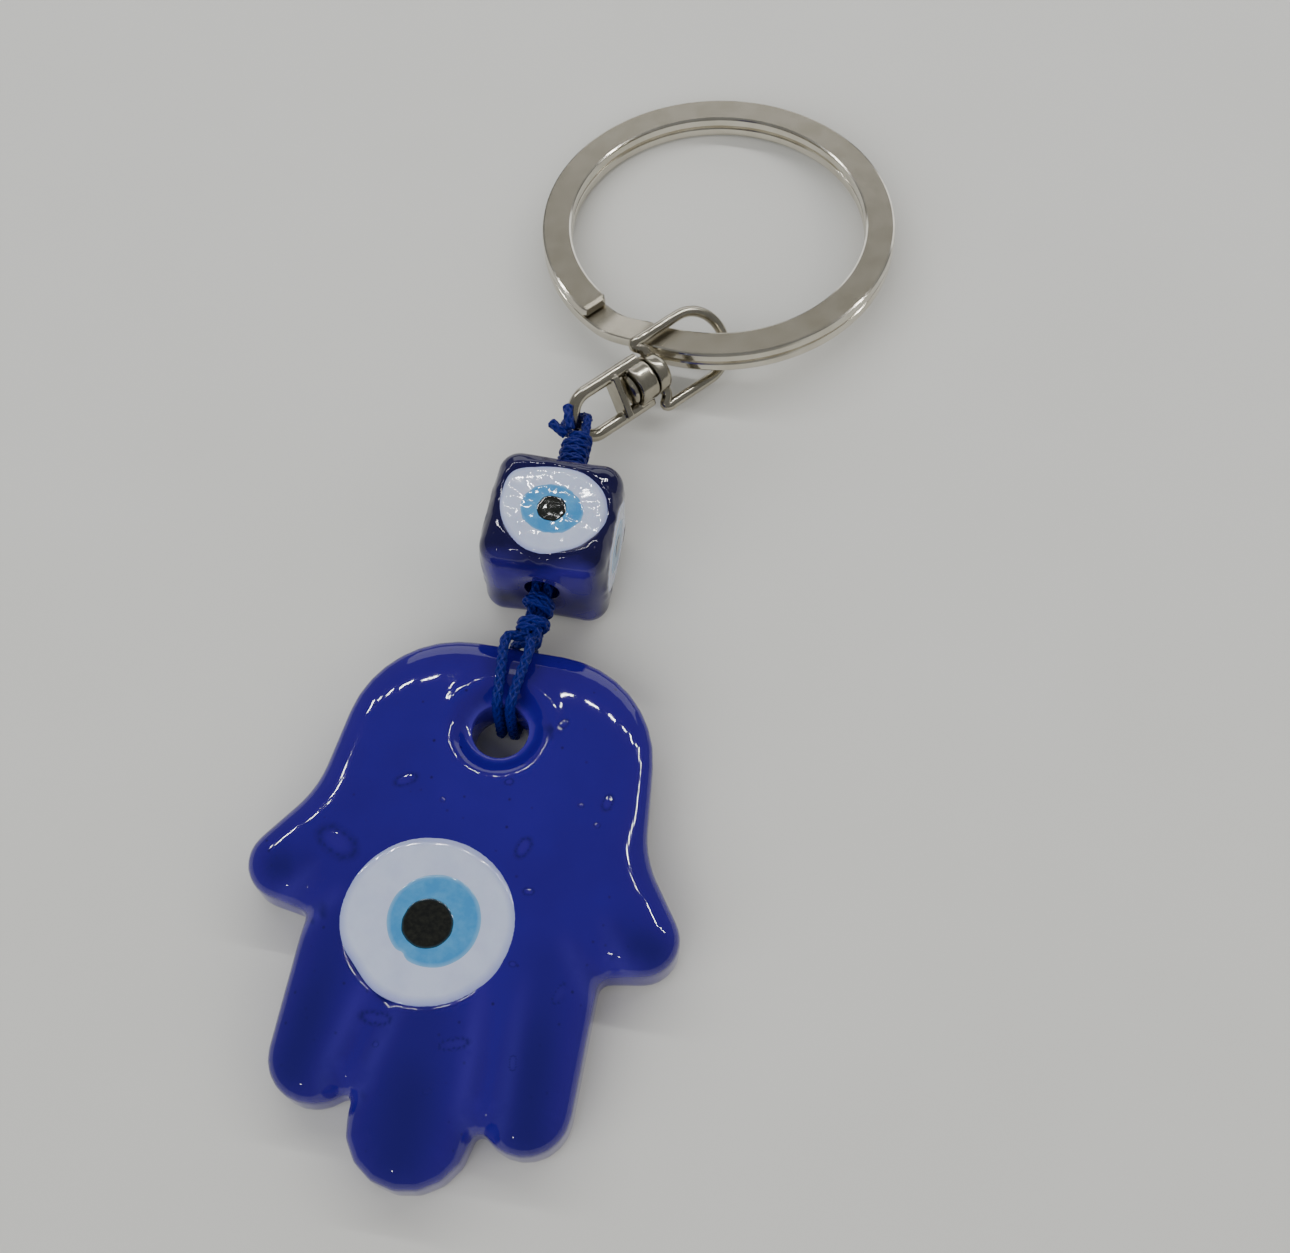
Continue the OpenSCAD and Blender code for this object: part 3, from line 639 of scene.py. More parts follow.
def makeHand():
    inward = inwardNormals(rim)
    away = holeLine - holeMiddle
    away /= np.linalg.norm(away, axis=1)[:, None]
    rings = [rim + inward * depth for depth in (0.0,) + hand["rimRings"]]
    rings += [holeLine + away * depth for depth in (0.0,) + hand["holeRings"]]
    outerCount, holeCount = len(rim), len(holeLine)
    step = hand["grid"]
    lo, hi = rim.min(0), rim.max(0)
    rows = []
    for j in range(int((hi[1] - lo[1]) / (step * 0.866)) + 1):
        x = np.arange(lo[0] + (j % 2) * step / 2, hi[0], step)
        rows.append(np.column_stack([x, np.full(len(x), lo[1] + j * step * 0.866)]))
    grid = np.vstack(rows)
    bubbles = bubbleRings()
    keep = insideOf(grid, rim) & (distanceTo(grid, rim) > hand["rimRings"][-1] + step * 0.6)
    keep &= np.linalg.norm(grid - holeMiddle, axis=1) > holeRadius + hand["holeRings"][-1] + step * 0.6
    for (x, y, a, b, angle) in hand["bubbles"]:
        keep &= np.linalg.norm(grid - np.array([x, y]), axis=1) > max(a, b) * 1.4 + 0.1
    grid = grid[keep]
    clear = insideOf(bubbles, rim) & (distanceTo(bubbles, rim) > hand["rimRings"][-1] + 0.12)
    clear &= np.linalg.norm(bubbles - holeMiddle, axis=1) > holeRadius + 1.8
    bubbles = bubbles[clear]
    # rings that would cross the middle of a finger are dropped point by point
    cleaned = []
    for i, ring in enumerate(rings):
        if 0 < i < 9:
            depth = hand["rimRings"][i - 1]
            ring = ring[distanceTo(ring, rim) > depth - 0.04]
        cleaned.append(ring)
    points = np.vstack(cleaned[:1] + cleaned[9:10] + cleaned[1:9] + cleaned[10:] + [grid, bubbles])
    edges = [(i, (i + 1) % outerCount) for i in range(outerCount)]
    edges += [(outerCount + i, outerCount + (i + 1) % holeCount) for i in range(holeCount)]
    flat, _, tris = delaunay_2d_cdt([Vector(p) for p in points], edges, [], 0, 1e-5)[:3]
    flat = np.array([(p.x, p.y) for p in flat])
    centre = np.array([flat[list(t)].mean(0) for t in tris])
    good = insideOf(centre, rim) & ~insideOf(centre, holeLine)
    tris = [t for t, g in zip(tris, good) if g]
    rimD = distanceTo(flat, rim)
    holeD = np.maximum(0, np.linalg.norm(flat - holeMiddle, axis=1) - holeRadius)
    z = frontHeight(flat, rimD, holeD, handTop)
    eyeD = np.linalg.norm(flat - eyeMiddle, axis=1)
    seat = ease((eyeD - (eyeRadius - hand["pocketInset"])) / hand["pocketSlope"])
    z = z - hand["pocketDepth"] * (1 - seat)
    b = hand["backRound"]
    edge = np.minimum(rimD, holeD)
    share = np.clip(1 - edge / b, 0, 1)
    back = b * (1 - np.sqrt(1 - share ** 2))
    n = len(flat)
    up = [(x, y, h) for (x, y), h in zip(flat, z)]
    low = [(x, y, h) for (x, y), h in zip(flat, back)]
    faces = []
    for t in tris:
        a, c, d = (flat[i] for i in t)
        left = (c[0] - a[0]) * (d[1] - a[1]) - (c[1] - a[1]) * (d[0] - a[0]) > 0
        t = tuple(t) if left else tuple(t)[::-1]
        faces += [t, tuple(i + n for i in t[::-1])]
    used = {}
    for f in faces[::2]:
        for i in range(3):
            used[(f[i], f[(i + 1) % 3])] = True
    levels = hand["wallLevels"]
    border = [(i, j) for i, j in used if (j, i) not in used]
    points3 = up + low
    wall = {}
    source = list(range(n)) * 2
    for i in sorted({k for pair in border for k in pair}):
        column = [i]
        for k in range(1, levels):
            s = k / levels
            points3.append((flat[i][0], flat[i][1], z[i] * (1 - s) + back[i] * s))
            source.append(i)
            column.append(len(points3) - 1)
        wall[i] = column + [i + n]
    for i, j in border:
        for k in range(levels):
            faces.append((wall[i][k], wall[i][k + 1], wall[j][k + 1], wall[j][k]))
    obj = newPiece("handGlass", placed(points3, handMatrix), faces, None, cobaltGlass)
    relax = obj.modifiers.new("relax", "SMOOTH")
    relax.factor, relax.iterations = 0.5, 3
    mesh = meshOf(obj)
    # the painted light and painted shade masks are stored on the mesh
    for name, values in zip(("paleToneAndPaintedLight", "thick"), handPaintedLightAndShade(flat, rimD, holeD)):
        mesh.attributes.new(name, "FLOAT", "POINT").data.foreach_set("value", values[source])
    return addPiece("handGlass", mesh, "hand", cobaltGlass, ["hand_glass"])


handPiece = makeHand()
print("hand made", len(handPiece.data.polygons))


def glassDisc(name, matrix, radiusAt, heightAt, depth, body, finish, replaced, sides=96):
    # radiusAt(turn) in mm; heightAt(x, y, share) is the top; the disc goes down by depth
    shares = [0.0, 0.12, 0.25, 0.38, 0.5, 0.62, 0.73, 0.82, 0.89, 0.94, 0.97, 0.99, 1.0]
    points, rims = [(0.0, 0.0, heightAt(0.0, 0.0, 0.0))], [0.0]
    turns = [2 * math.pi * k / sides for k in range(sides)]
    radii = [radiusAt(t) for t in turns]
    for share in shares[1:]:
        for t, r in zip(turns, radii):
            x, y = share * r * math.cos(t), share * r * math.sin(t)
            points.append((x, y, heightAt(x, y, share)))
            rims.append(share)
    for share, low in ((1.0, 0.35), (0.96, 0.85), (0.8, 1.0), (0.3, 1.0)):
        for t, r in zip(turns, radii):
            x, y = share * r * math.cos(t), share * r * math.sin(t)
            points.append((x, y, heightAt(x, y, 1.0) - depth * low))
            rims.append(1.0)
    faces = [(0, 1 + k, 1 + (k + 1) % sides) for k in range(sides)]
    rings = len(shares) - 1 + 4
    for i in range(rings - 1):
        for k in range(sides):
            j = (k + 1) % sides
            a, b = 1 + i * sides, 1 + (i + 1) * sides
            faces.append((a + k, b + k, b + j, a + j))
    last = 1 + (rings - 1) * sides
    faces.append(tuple(last + k for k in range(sides))[::-1])
    obj = newPiece(name, placed(points, matrix), faces, body, finish, replaced)
    mark = obj.data.attributes.new("rim", "FLOAT", "POINT")
    mark.data.foreach_set("value", rims)
    return obj


def wobble(radius, seed, amount, stretch=(1.0, 1.0), bumps=()):
    # a hand-melted outline: bumps are (turn in degrees, how much, how wide in degrees)
    def at(turn):
        c, s = math.cos(turn), math.sin(turn)
        base = radius / math.sqrt((c / stretch[0]) ** 2 + (s / stretch[1]) ** 2)
        n = noise.noise(Vector((c * 1.1 + seed, s * 1.1, seed * 1.7))) + 0.4 * noise.noise(
            Vector((c * 3 + seed, s * 3, 5.1)))
        extra = sum(much * math.exp(-(((math.degrees(turn) - where + 180) % 360 - 180) / wide) ** 2)
                    for where, much, wide in bumps)
        return base * (1 + amount * n) + extra
    return at


handEye = {"dome": 0.34, "rimDrop": 0.12, "irisRise": 0.025, "pupilRise": 0.05, "sink": 0.55}


def makeHandEye():
    boxes = {n: [untilt @ (c / mm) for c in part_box(n)] for n in ("hand_eye_iris", "hand_eye_pupil")}
    middles = {n: Vector(((b[0].x + b[1].x) / 2, (b[0].y + b[1].y) / 2)) for n, b in boxes.items()}
    radii = {n: (b[1].x - b[0].x) / 2 for n, b in boxes.items()}

    def dome(x, y, share, middle, rise, drop):
        # the discs share one dome; each dips into what it lies in at its own rim
        far = math.hypot(x + middle[0] - eyeMiddle[0], y + middle[1] - eyeMiddle[1]) / eyeRadius
        z = handTop + handEye["dome"] * (1 - min(1, far) ** 2.4) + rise
        return z - drop * max(0.0, (share - 0.93) / 0.07) ** 1.5

    def disc(name, middle, radiusAt, rise, drop, depth, finish, node):
        matrix = handMatrix @ Matrix.Translation((middle[0], middle[1], 0))
        glassDisc(name, matrix, radiusAt, lambda x, y, s: dome(x, y, s, middle, rise, drop),
                  depth, "hand", finish, [node])

    white = wobble(eyeRadius, 2.0, 0.012, (1.03, 0.975), [(222, -0.34, 18), (120, 0.1, 30)])
    disc("handEyeWhite", eyeMiddle, white,
         0.0, handEye["rimDrop"], handEye["sink"], milkGlass, "hand_eye_white")
    disc("handEyeIris", middles["hand_eye_iris"],
         wobble(radii["hand_eye_iris"], 4.3, 0.02, bumps=[(238, -0.2, 6)]),
         handEye["irisRise"], 0.05, 0.3, skyGlass, "hand_eye_iris")
    disc("handEyePupil", middles["hand_eye_pupil"], wobble(radii["hand_eye_pupil"], 7.7, 0.05),
         handEye["pupilRise"], 0.05, 0.3, blackGlass, "hand_eye_pupil")


makeHandEye()
print("hand eye made")


bead = {
    "grid": 48, "edge": 1.75, "pocket": 0.35, "unevenness": 0.10,
    "bore": 1.35, "boreDish": 0.45,
    # per face: white radius, its stretch, its bumps, iris radius, pupil radius, where the middle sits,
    # how uneven the top is, and how far it is let in; the third face is the one the bead lies on
    "faces": [
        dict(white=3.85, stretch=(1.1, 0.98), bumps=[(142, 0.6, 20), (205, -0.3, 25), (330, -0.1, 30)],
             iris=2.28, irisStretch=(1.06, 0.94), pupil=1.15, middle=(0.1, -0.3), seed=1.3,
             rough=0.065, low=0.05),
        dict(white=3.6, stretch=(1.0, 1.04), bumps=[(60, 0.25, 25)],
             iris=2.15, irisStretch=(1.0, 1.05), pupil=0.9, middle=(0.1, 0.2), seed=3.9,
             rough=0.02, low=0.05),
        dict(white=3.55, stretch=(1.03, 1.0), bumps=[(250, 0.3, 25)],
             iris=2.05, irisStretch=(1.02, 0.97), pupil=0.95, middle=(0.0, -0.2), seed=5.2,
             rough=0.02, low=0.17),
        dict(white=3.6, stretch=(0.98, 1.05), bumps=[(160, 0.2, 30)],
             iris=2.2, irisStretch=(0.96, 1.04), pupil=1.0, middle=(-0.1, 0.1), seed=8.6,
             rough=0.02, low=0.05),
    ],
}
beadHalf = (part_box("bead_glass")[1].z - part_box("bead_glass")[0].z) / mm / 2
beadMatrix = Matrix.Translation(beadMiddle)


def beadFaceHeight(x, y):
    # height over the bead's middle of a face with its melted edges
    flat, r = beadHalf - bead["edge"], bead["edge"]
    dx, dy = max(0, abs(x) - flat), max(0, abs(y) - flat)
    return flat + math.sqrt(max(0.0, r * r - dx * dx - dy * dy))


def ripple(p, seed):
    # squirming melt lines, about one to a millimetre
    coarse = noise.noise(Vector(p) * 0.9 + Vector((seed, 0, 0)))
    return coarse + 0.5 * noise.noise(Vector(p) * 2.1 + Vector((0, seed, 3)))


def faceMatrix(i):
    return beadMatrix @ Matrix.Rotation(math.radians(90 * i), 4, "Y")


def whiteOutline(face):
    return wobble(face["white"], face["seed"], 0.03, face["stretch"], face["bumps"])


def makeBead():
    n, flat, r = bead["grid"], beadHalf - bead["edge"], bead["edge"]
    bm = bmesh.new()
    bmesh.ops.create_cube(bm, size=2 * beadHalf)
    bmesh.ops.subdivide_edges(bm, edges=bm.edges[:], cuts=n - 1, use_grid_fill=True)
    outlines = []
    for i, face in enumerate(bead["faces"]):
        turn = Matrix.Rotation(math.radians(90 * i), 3, "Y").inverted()
        outlines.append((turn, whiteOutline(face), face))
    for v in bm.verts:
        core = Vector([max(-flat, min(flat, c)) for c in v.co])
        away = v.co - core
        p = core + away.normalized() * r if away.length > 1e-6 else v.co.copy()
        out = away.normalized() if away.length > 1e-6 else Vector()
        sink = 0.0
        for turn, radiusAt, face in outlines:
            q = turn @ p
            if q.z < flat * 0.9:
                continue
            x, y = q.x - face["middle"][0], q.y - face["middle"][1]
            inside = radiusAt(math.atan2(y, x)) - math.hypot(x, y)
            sink += bead["pocket"] * float(ease(np.array((inside - 0.05) / 0.5)))
            sink -= 0.07 * math.exp(-((inside + 0.25) / 0.3) ** 2) * (1 + ripple(p * 1.4, 4.0))
        bore = math.hypot(p.x, p.z)
        if abs(p.y) > flat * 0.9:
            sink += bead["boreDish"] * math.exp(-((bore - bead["bore"]) / 0.7) ** 2) * 0.5
        sink += bead["unevenness"] * noise.noise(p * 0.28 + Vector((3.1, 0, 0))) * 1.2 + 0.05
        v.co = p - out * sink
        v.co.z = max(v.co.z, -beadHalf)
    shell = bpy.data.meshes.new("beadShell")
    bm.to_mesh(shell)
    bm.free()
    shell.transform(Matrix.Scale(mm, 4) @ beadMatrix)
    obj = bpy.data.objects.new("beadShell", shell)
    scene.collection.objects.link(obj)
    wall = lathe([(0.01, -beadHalf * 1.5), (bead["bore"], -beadHalf * 1.5), (bead["bore"], beadHalf * 1.5),
                  (0.01, beadHalf * 1.5)], beadMatrix, 48)
    drill = looseObject("drill", *wall)
    cut = obj.modifiers.new("bore", "BOOLEAN")
    cut.operation, cut.solver, cut.object = "DIFFERENCE", "EXACT", drill
    mesh = meshOf(obj)
    bpy.data.objects.remove(drill)
    mesh.polygons.foreach_set("use_smooth", [True] * len(mesh.polygons))
    mesh.set_sharp_from_angle(angle=math.radians(50))
    # painted light: the two end faces round the bore are lightened, broken up by noise, as if light came
    # through the glass there
    mark = mesh.attributes.new("paleToneAndPaintedLight", "FLOAT", "POINT")
    ends = []
    for v in mesh.vertices:
        p = v.co / mm - beadMiddle
        side = float(ease(np.array(abs(v.normal.y) * 1.6 - 0.6)))
        ends.append(side * max(0.0, min(1.0, 0.45 + 1.1 * noise.noise(p * 0.35 + Vector((0, 0, 2.0))))))
    mark.data.foreach_set("value", ends)
    addPiece("beadGlass", mesh, "bead", midnightGlass, ["bead_glass"])


def makeBeadEyes():
    for i, face in enumerate(bead["faces"]):
        mx, my = face["middle"]
        matrix = faceMatrix(i) @ Matrix.Translation((mx, my, 0))
        seed = face["seed"]

        def top(rise, drop, rough):
            def at(x, y, share):
                z = beadFaceHeight(x + mx, y + my) + rise - low
                z += rough * ripple((x * 1.3, y * 1.3, seed), seed) * (0.4 + share) * (1 - share ** 8)
                return z - drop * max(0.0, (share - 0.9) / 0.1) ** 1.5
            return at

        rough, low = face["rough"], face["low"]
        glassDisc(f"beadWhite_{i + 1}", matrix, whiteOutline(face),
                  top(0.05, 0.16, rough), 0.6, "bead", milkGlass,
                  [f"bead_white_{i + 1}"])
        glassDisc(f"beadIris_{i + 1}", matrix, wobble(face["iris"], seed + 2, 0.05, face["irisStretch"]),
                  top(0.075, 0.06, rough * 0.6), 0.3, "bead", skyGlass,
                  [f"bead_iris_{i + 1}"])
        glassDisc(f"beadPupil_{i + 1}", matrix, wobble(face["pupil"], seed + 5, 0.08),
                  top(0.10, 0.06, rough * 0.4), 0.3, "bead", blackGlass,
                  [f"bead_pupil_{i + 1}"], 48)


makeBead()
makeBeadEyes()
print("bead made")


cord = {
    "width": 0.84, "strandGap": 0.03,
    # each knot: turns of cord, their radius, how they lean, and where they start in turns
    "lower": (2.0, 0.88, 0.22, 0.05), "middle": (2.0, 0.88, -0.22, 0.55), "wrapped": (5.2, 0.84, 0.16, 0.3),
    "loopRadius": 0.55, "hitchSlack": 0.1,
    # where each strand runs, in mm: over the palm, behind the hand, and the two cut ends
    "front": [(0.45, 14.55, -1.00), (0.45, 14.65, 0.15), (0.50, 14.92, 0.85), (0.55, 15.60, 1.08),
              (0.75, 17.50, 1.08), (0.95, 19.30, 1.05), (0.80, 20.30, 0.75)],
    "back": [(0.45, 14.55, 1.50), (0.50, 14.70, 0.20), (0.55, 15.30, -0.05), (0.65, 16.50, -0.05),
             (0.85, 18.20, -0.05), (0.88, 19.90, -0.04), (0.85, 20.45, 0.15), (0.80, 20.80, 0.60),
             (0.75, 20.85, 1.40), (0.65, 20.80, 2.60)],
    "short": [(-0.95, -0.60, 0.51), (-1.60, -0.30, 0.81), (-2.20, 0.10, 0.81)],
    "long": [(-0.65, -0.20, 0.91), (-0.95, 0.70, 1.21), (-1.20, 1.60, 1.11)],
}
cordWidth = cord["width"]
braid = {"Lay radius": 0.25, "Strand radius": 0.135, "Wave": 0.035, "Pitch": 3.4, "Step": 0.11}


def braidTree():
    # eight strands plaited round a core, along the line that it is given
    tree = bpy.data.node_groups.new("braidedCord", "GeometryNodeTree")
    face = tree.interface
    face.new_socket("Line", in_out="INPUT", socket_type="NodeSocketGeometry")
    for name in braid:
        face.new_socket(name, in_out="INPUT", socket_type="NodeSocketFloat").default_value = braid[name] * mm
    face.new_socket("Finish", in_out="INPUT", socket_type="NodeSocketMaterial")
    face.new_socket("Cord", in_out="OUTPUT", socket_type="NodeSocketGeometry")
    given = addNode(tree, "NodeGroupInput").outputs

    def calc(operation, a, b=None):
        node = addNode(tree, "ShaderNodeMath", {"operation": operation})
        for i, value in enumerate((a, b)):
            if value is None:
                continue
            if isinstance(value, (int, float)):
                node.inputs[i].default_value = value
            else:
                tree.links.new(value, node.inputs[i])
        return node.outputs[0]

    line = addNode(tree, "GeometryNodeMeshToCurve", links={0: given["Line"]})
    even = addNode(tree, "GeometryNodeResampleCurve", {"mode": "LENGTH"}, {"Curve": line.outputs[0]})
    tree.links.new(given["Step"], even.inputs["Length"])
    coreRing = addNode(tree, "GeometryNodeCurvePrimitiveCircle", {"Resolution": 8},
                       {"Radius": given["Lay radius"]})
    core = addNode(tree, "GeometryNodeCurveToMesh", {"Fill Caps": True},
                   {"Curve": even.outputs[0], "Profile Curve": coreRing.outputs[0]})
    copies = addNode(tree, "GeometryNodeDuplicateElements", {"domain": "SPLINE", "Amount": 8},
                     {"Geometry": even.outputs[0]})
    index = copies.outputs["Duplicate Index"]
    far = addNode(tree, "GeometryNodeSplineParameter").outputs["Length"]
    odd = calc("MODULO", index, 2)
    way = calc("SUBTRACT", 1, calc("MULTIPLY", odd, 2))
    start = calc("MULTIPLY", calc("FLOOR", calc("DIVIDE", index, 2)), math.pi / 2)
    wound = calc("MULTIPLY", calc("DIVIDE", far, given["Pitch"]), 2 * math.pi)
    angle = calc("ADD", calc("MULTIPLY", wound, way), start)
    over = calc("MULTIPLY", calc("COSINE", calc("MULTIPLY", wound, 4)), way)
    reach = calc("ADD", given["Lay radius"], calc("MULTIPLY", over, given["Wave"]))
    normal = addNode(tree, "GeometryNodeInputNormal").outputs[0]
    tangent = addNode(tree, "GeometryNodeInputTangent").outputs[0]
    side = addNode(tree, "ShaderNodeVectorMath", {"operation": "CROSS_PRODUCT"}, {0: tangent, 1: normal})
    across = addNode(tree, "ShaderNodeVectorMath", {"operation": "SCALE"},
                     {0: normal, "Scale": calc("MULTIPLY", reach, calc("COSINE", angle))})
    along = addNode(tree, "ShaderNodeVectorMath", {"operation": "SCALE"},
                    {0: side.outputs[0], "Scale": calc("MULTIPLY", reach, calc("SINE", angle))})
    offset = addNode(tree, "ShaderNodeVectorMath", {"operation": "ADD"},
                     {0: across.outputs[0], 1: along.outputs[0]})
    moved = addNode(tree, "GeometryNodeSetPosition",
                    links={"Geometry": copies.outputs[0], "Offset": offset.outputs[0]})
    strandRing = addNode(tree, "GeometryNodeCurvePrimitiveCircle", {"Resolution": 6},
                         {"Radius": given["Strand radius"]})
    strands = addNode(tree, "GeometryNodeCurveToMesh", {"Fill Caps": True},
                      {"Curve": moved.outputs[0], "Profile Curve": strandRing.outputs[0]})
    both = addNode(tree, "GeometryNodeJoinGeometry", links={0: core.outputs[0]})
    tree.links.new(strands.outputs[0], both.inputs[0])
    soft = addNode(tree, "GeometryNodeSetShadeSmooth", links={0: both.outputs[0]})
    real = addNode(tree, "GeometryNodeRealizeInstances", links={0: soft.outputs[0]})
    done = addNode(tree, "GeometryNodeSetMaterial",
                   links={"Geometry": real.outputs[0], "Material": given["Finish"]})
    out = addNode(tree, "NodeGroupOutput")
    tree.links.new(done.outputs[0], out.inputs[0])
    return tree


braidNodes = braidTree()


def braidMesh(name, path, width=cordWidth):
    # path in mm, as a smooth line; gives a plain mesh of plaited strands
    obj = looseObject(name + "Line", path, [], [(i, i + 1) for i in range(len(path) - 1)])
    plait = obj.modifiers.new("plait", "NODES")
    plait.node_group = braidNodes
    for item in braidNodes.interface.items_tree:
        if item.in_out == "INPUT" and item.name in braid:
            plait[item.identifier] = braid[item.name] * mm * (width / cordWidth if item.name != "Step" else 1)
        elif item.name == "Finish":
            plait[item.identifier] = nylon
    return meshOf(obj)


def joinMeshes(name, meshes):
    # several meshes as one
    bm = bmesh.new()
    for mesh in meshes:
        bm.from_mesh(mesh)
        bpy.data.meshes.remove(mesh)
    joined = bpy.data.meshes.new(name)
    bm.to_mesh(joined)
    bm.free()
    joined.polygons.foreach_set("use_smooth", [True] * len(joined.polygons))
    return joined


strandOff = cordWidth / 2 + cord["strandGap"]
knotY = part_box("knot_lower")[0].y / mm
wrapY, wrapTopY = (corner.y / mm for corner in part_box("knot_wrapped"))
cordX, cordZ = beadMiddle.x, beadMiddle.z
wrapTop = Vector((cordX, wrapTopY, cordZ))


def makeLoop(side, word):
    x = cordX + side * strandOff
    front = [(side * px, py, pz + handTop) for px, py, pz in reversed(cord["front"])]
    back = [(side * px, py, pz) for px, py, pz in cord["back"]]
    route = [(x, knotY + 0.4, cordZ + strandOff), (x, knotY - 0.3, cordZ + strandOff)] + front + back
    route += [(x, knotY - 0.3, cordZ - strandOff), (x, knotY + 0.4, cordZ - strandOff)]
    mesh = braidMesh("loop", smoothPath(route))
    obj = addPiece("handLoop" + word.capitalize(), mesh, None, nylon, ["hand_loop_" + word])
    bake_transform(obj)


def coil(turns, radius, low, high, lean, startTurn, tuck=0.35):
    # turns of cord round the line of the knot, leaning over; the ends tuck in
    path = []
    count = int(turns * 40)
    for i in range(count + 1):
        s = i / count
        t = 2 * math.pi * (startTurn + turns * s)
        edge = min(1.0, s * turns / tuck, (1 - s) * turns / tuck)
        r = radius * (0.45 + 0.55 * edge)
        x, z = r * math.cos(t), r * math.sin(t)
        path.append(Vector((cordX + x, low + (high - low) * s + lean * x, cordZ + z)))
    return path


def straight(side, low, high):
    return [Vector((cordX + side * strandOff * 0.8, low + (high - low) * i / 12, cordZ)) for i in range(13)]


def makeKnots():
    r = cordWidth / 2
    for word in ("lower", "middle"):
        node = "knot_" + word
        turns, radius, lean, start = cord[word]
        low, high = (c.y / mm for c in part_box(node))
        coils = [braidMesh("knot", coil(turns, radius, low + r, high - r, lean, start))]
        coils += [braidMesh("knot", straight(s, low, high)) for s in (-1, 1)]
        name = "knot" + word.capitalize()
        addPiece(name, joinMeshes(name, coils), "cord", nylon, [node])
    turns, radius, lean, start = cord["wrapped"]
    wraps = [braidMesh("wrap", coil(turns, radius, wrapY + r, wrapTopY - r, lean, start))]
    wraps += [braidMesh("wrap", straight(s, wrapY, wrapTopY)) for s in (-1, 1)]
    addPiece("knotWrapped", joinMeshes("knotWrapped", wraps), "cord", nylon, ["knot_wrapped"])
    for side, word in ((-1, "Left"), (1, "Right")):
        low, high = (c.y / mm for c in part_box("cord_through_" + word.lower()))
        path = [Vector((cordX + side * strandOff, low + (high - low) * i / 40, cordZ)) for i in range(41)]
        addPiece("cordThrough" + word, braidMesh("through", path), "cord", nylon,
                 ["cord_through_" + word.lower()])


def makeHitch():
    # the cord runs from the wrapped knot round the end of the swivel's loop and back
    cross = unit(joints["hitch_swing"]["axis"])
    toKnot = wrapTop - Vector((0, cordWidth / 2, 0)) - loopAt
    out = unit(toKnot - toKnot.dot(cross) * cross)
    over = out.cross(cross)
    radius = cord["loopRadius"] + cordWidth / 2 + cord["hitchSlack"]
    start = wrapTop - Vector((0, 0.9, 0))
    path = [start + Vector((strandOff * 0.8, 0, 0)), start + Vector((strandOff, 0.6, 0))]
    path += [loopAt + radius * (math.cos(math.radians(a)) * out + math.sin(math.radians(a)) * over)
             for a in range(70, 291, 20)]
    path += [start + Vector((-strandOff, 0.6, 0)), start + Vector((-strandOff * 0.8, 0, 0))]
    addPiece("cordHitch", braidMesh("hitch", smoothPath(path)), "cord", nylon, ["cord_hitch"])


def makeCordEnds():
    for word in ("short", "long"):
        path = smoothPath([wrapTop + Vector(p) for p in cord[word]])
        tip, ahead = path[-1], unit(path[-1] - path[-4])
        turn = ahead.to_track_quat("Y", "Z").to_matrix().to_4x4()
        # the cut end is melted to a low blob
        blob = [(0.001, -0.12), (0.30, -0.12), (0.40, -0.03), (0.41, 0.05), (0.34, 0.13),
                (0.2, 0.17), (0.001, 0.18)]
        points, faces = lathe(blob, Matrix.Translation(tip - ahead * 0.1) @ turn, 24)
        points = [p + 0.03 * Vector((noise.noise(p * 3), noise.noise(p * 3 + Vector((5, 0, 0))), 0))
                  for p in points]
        melted = looseObject("melted", points, faces)
        mesh = joinMeshes("cordEnd", [braidMesh("end", path), meshOf(melted)])
        addPiece("cordEnd" + word.capitalize(), mesh, "cord", nylon, ["cord_end_" + word])


makeLoop(-1, "left")
makeLoop(1, "right")
makeKnots()
makeHitch()
makeCordEnds()
print("cord made")


def castPiece(name, matrix, solids, holes, voxel, rounds, body, finish, replaced):
    # solids and holes as (points, faces) in mm; melted into one skin with soft fillets
    whole = [looseObject("part", placed(points, matrix), faces) for points, faces in solids]
    drills = [looseObject("drill", placed(points, matrix), faces) for points, faces in holes]
    base = whole[0]
    bm = bmesh.new()
    for obj in whole:
        bm.from_mesh(obj.data)
    bmesh.ops.recalc_face_normals(bm, faces=bm.faces[:])
    bm.to_mesh(base.data)
    bm.free()
    for obj in whole[1:]:
        bpy.data.objects.remove(obj)
    skin = base.modifiers.new("skin", "REMESH")
    skin.mode, skin.voxel_size = "VOXEL", voxel * mm
    for drill in drills:
        cut = base.modifiers.new("drill", "BOOLEAN")
        cut.operation, cut.solver, cut.object = "DIFFERENCE", "EXACT", drill
    if drills:
        skin = base.modifiers.new("skin again", "REMESH")
        skin.mode, skin.voxel_size = "VOXEL", voxel * mm
    relax = base.modifiers.new("relax", "SMOOTH")
    relax.factor, relax.iterations = 0.5, rounds
    mesh = meshOf(base)
    for drill in drills:
        bpy.data.objects.remove(drill)
    mesh.polygons.foreach_set("use_smooth", [True] * len(mesh.polygons))
    return addPiece(name, mesh, body, finish, replaced)


def rod(start, end, radius, sides=32, roundEnd=0.12):
    # a rod with rounded ends, in local mm
    start, end = Vector(start), Vector(end)
    ahead = unit(end - start)
    turn = Matrix.Translation(start) @ ahead.to_track_quat("Y", "Z").to_matrix().to_4x4()
    length = (end - start).length
    e = min(roundEnd, radius * 0.9, length / 3)
    return lathe([(radius - e, 0), (radius - 0.3 * e, 0.3 * e), (radius, e),
                  (radius, length - e), (radius - 0.3 * e, length - 0.3 * e), (radius - e, length)],
                 turn, sides)


def block(lo, hi):
    (x0, y0, z0), (x1, y1, z1) = lo, hi
    points = [Vector((x, y, z)) for x in (x0, x1) for y in (y0, y1) for z in (z0, z1)]
    return points, [(0, 1, 3, 2), (4, 6, 7, 5), (0, 4, 5, 1), (2, 3, 7, 6), (0, 2, 6, 4), (1, 5, 7, 3)]


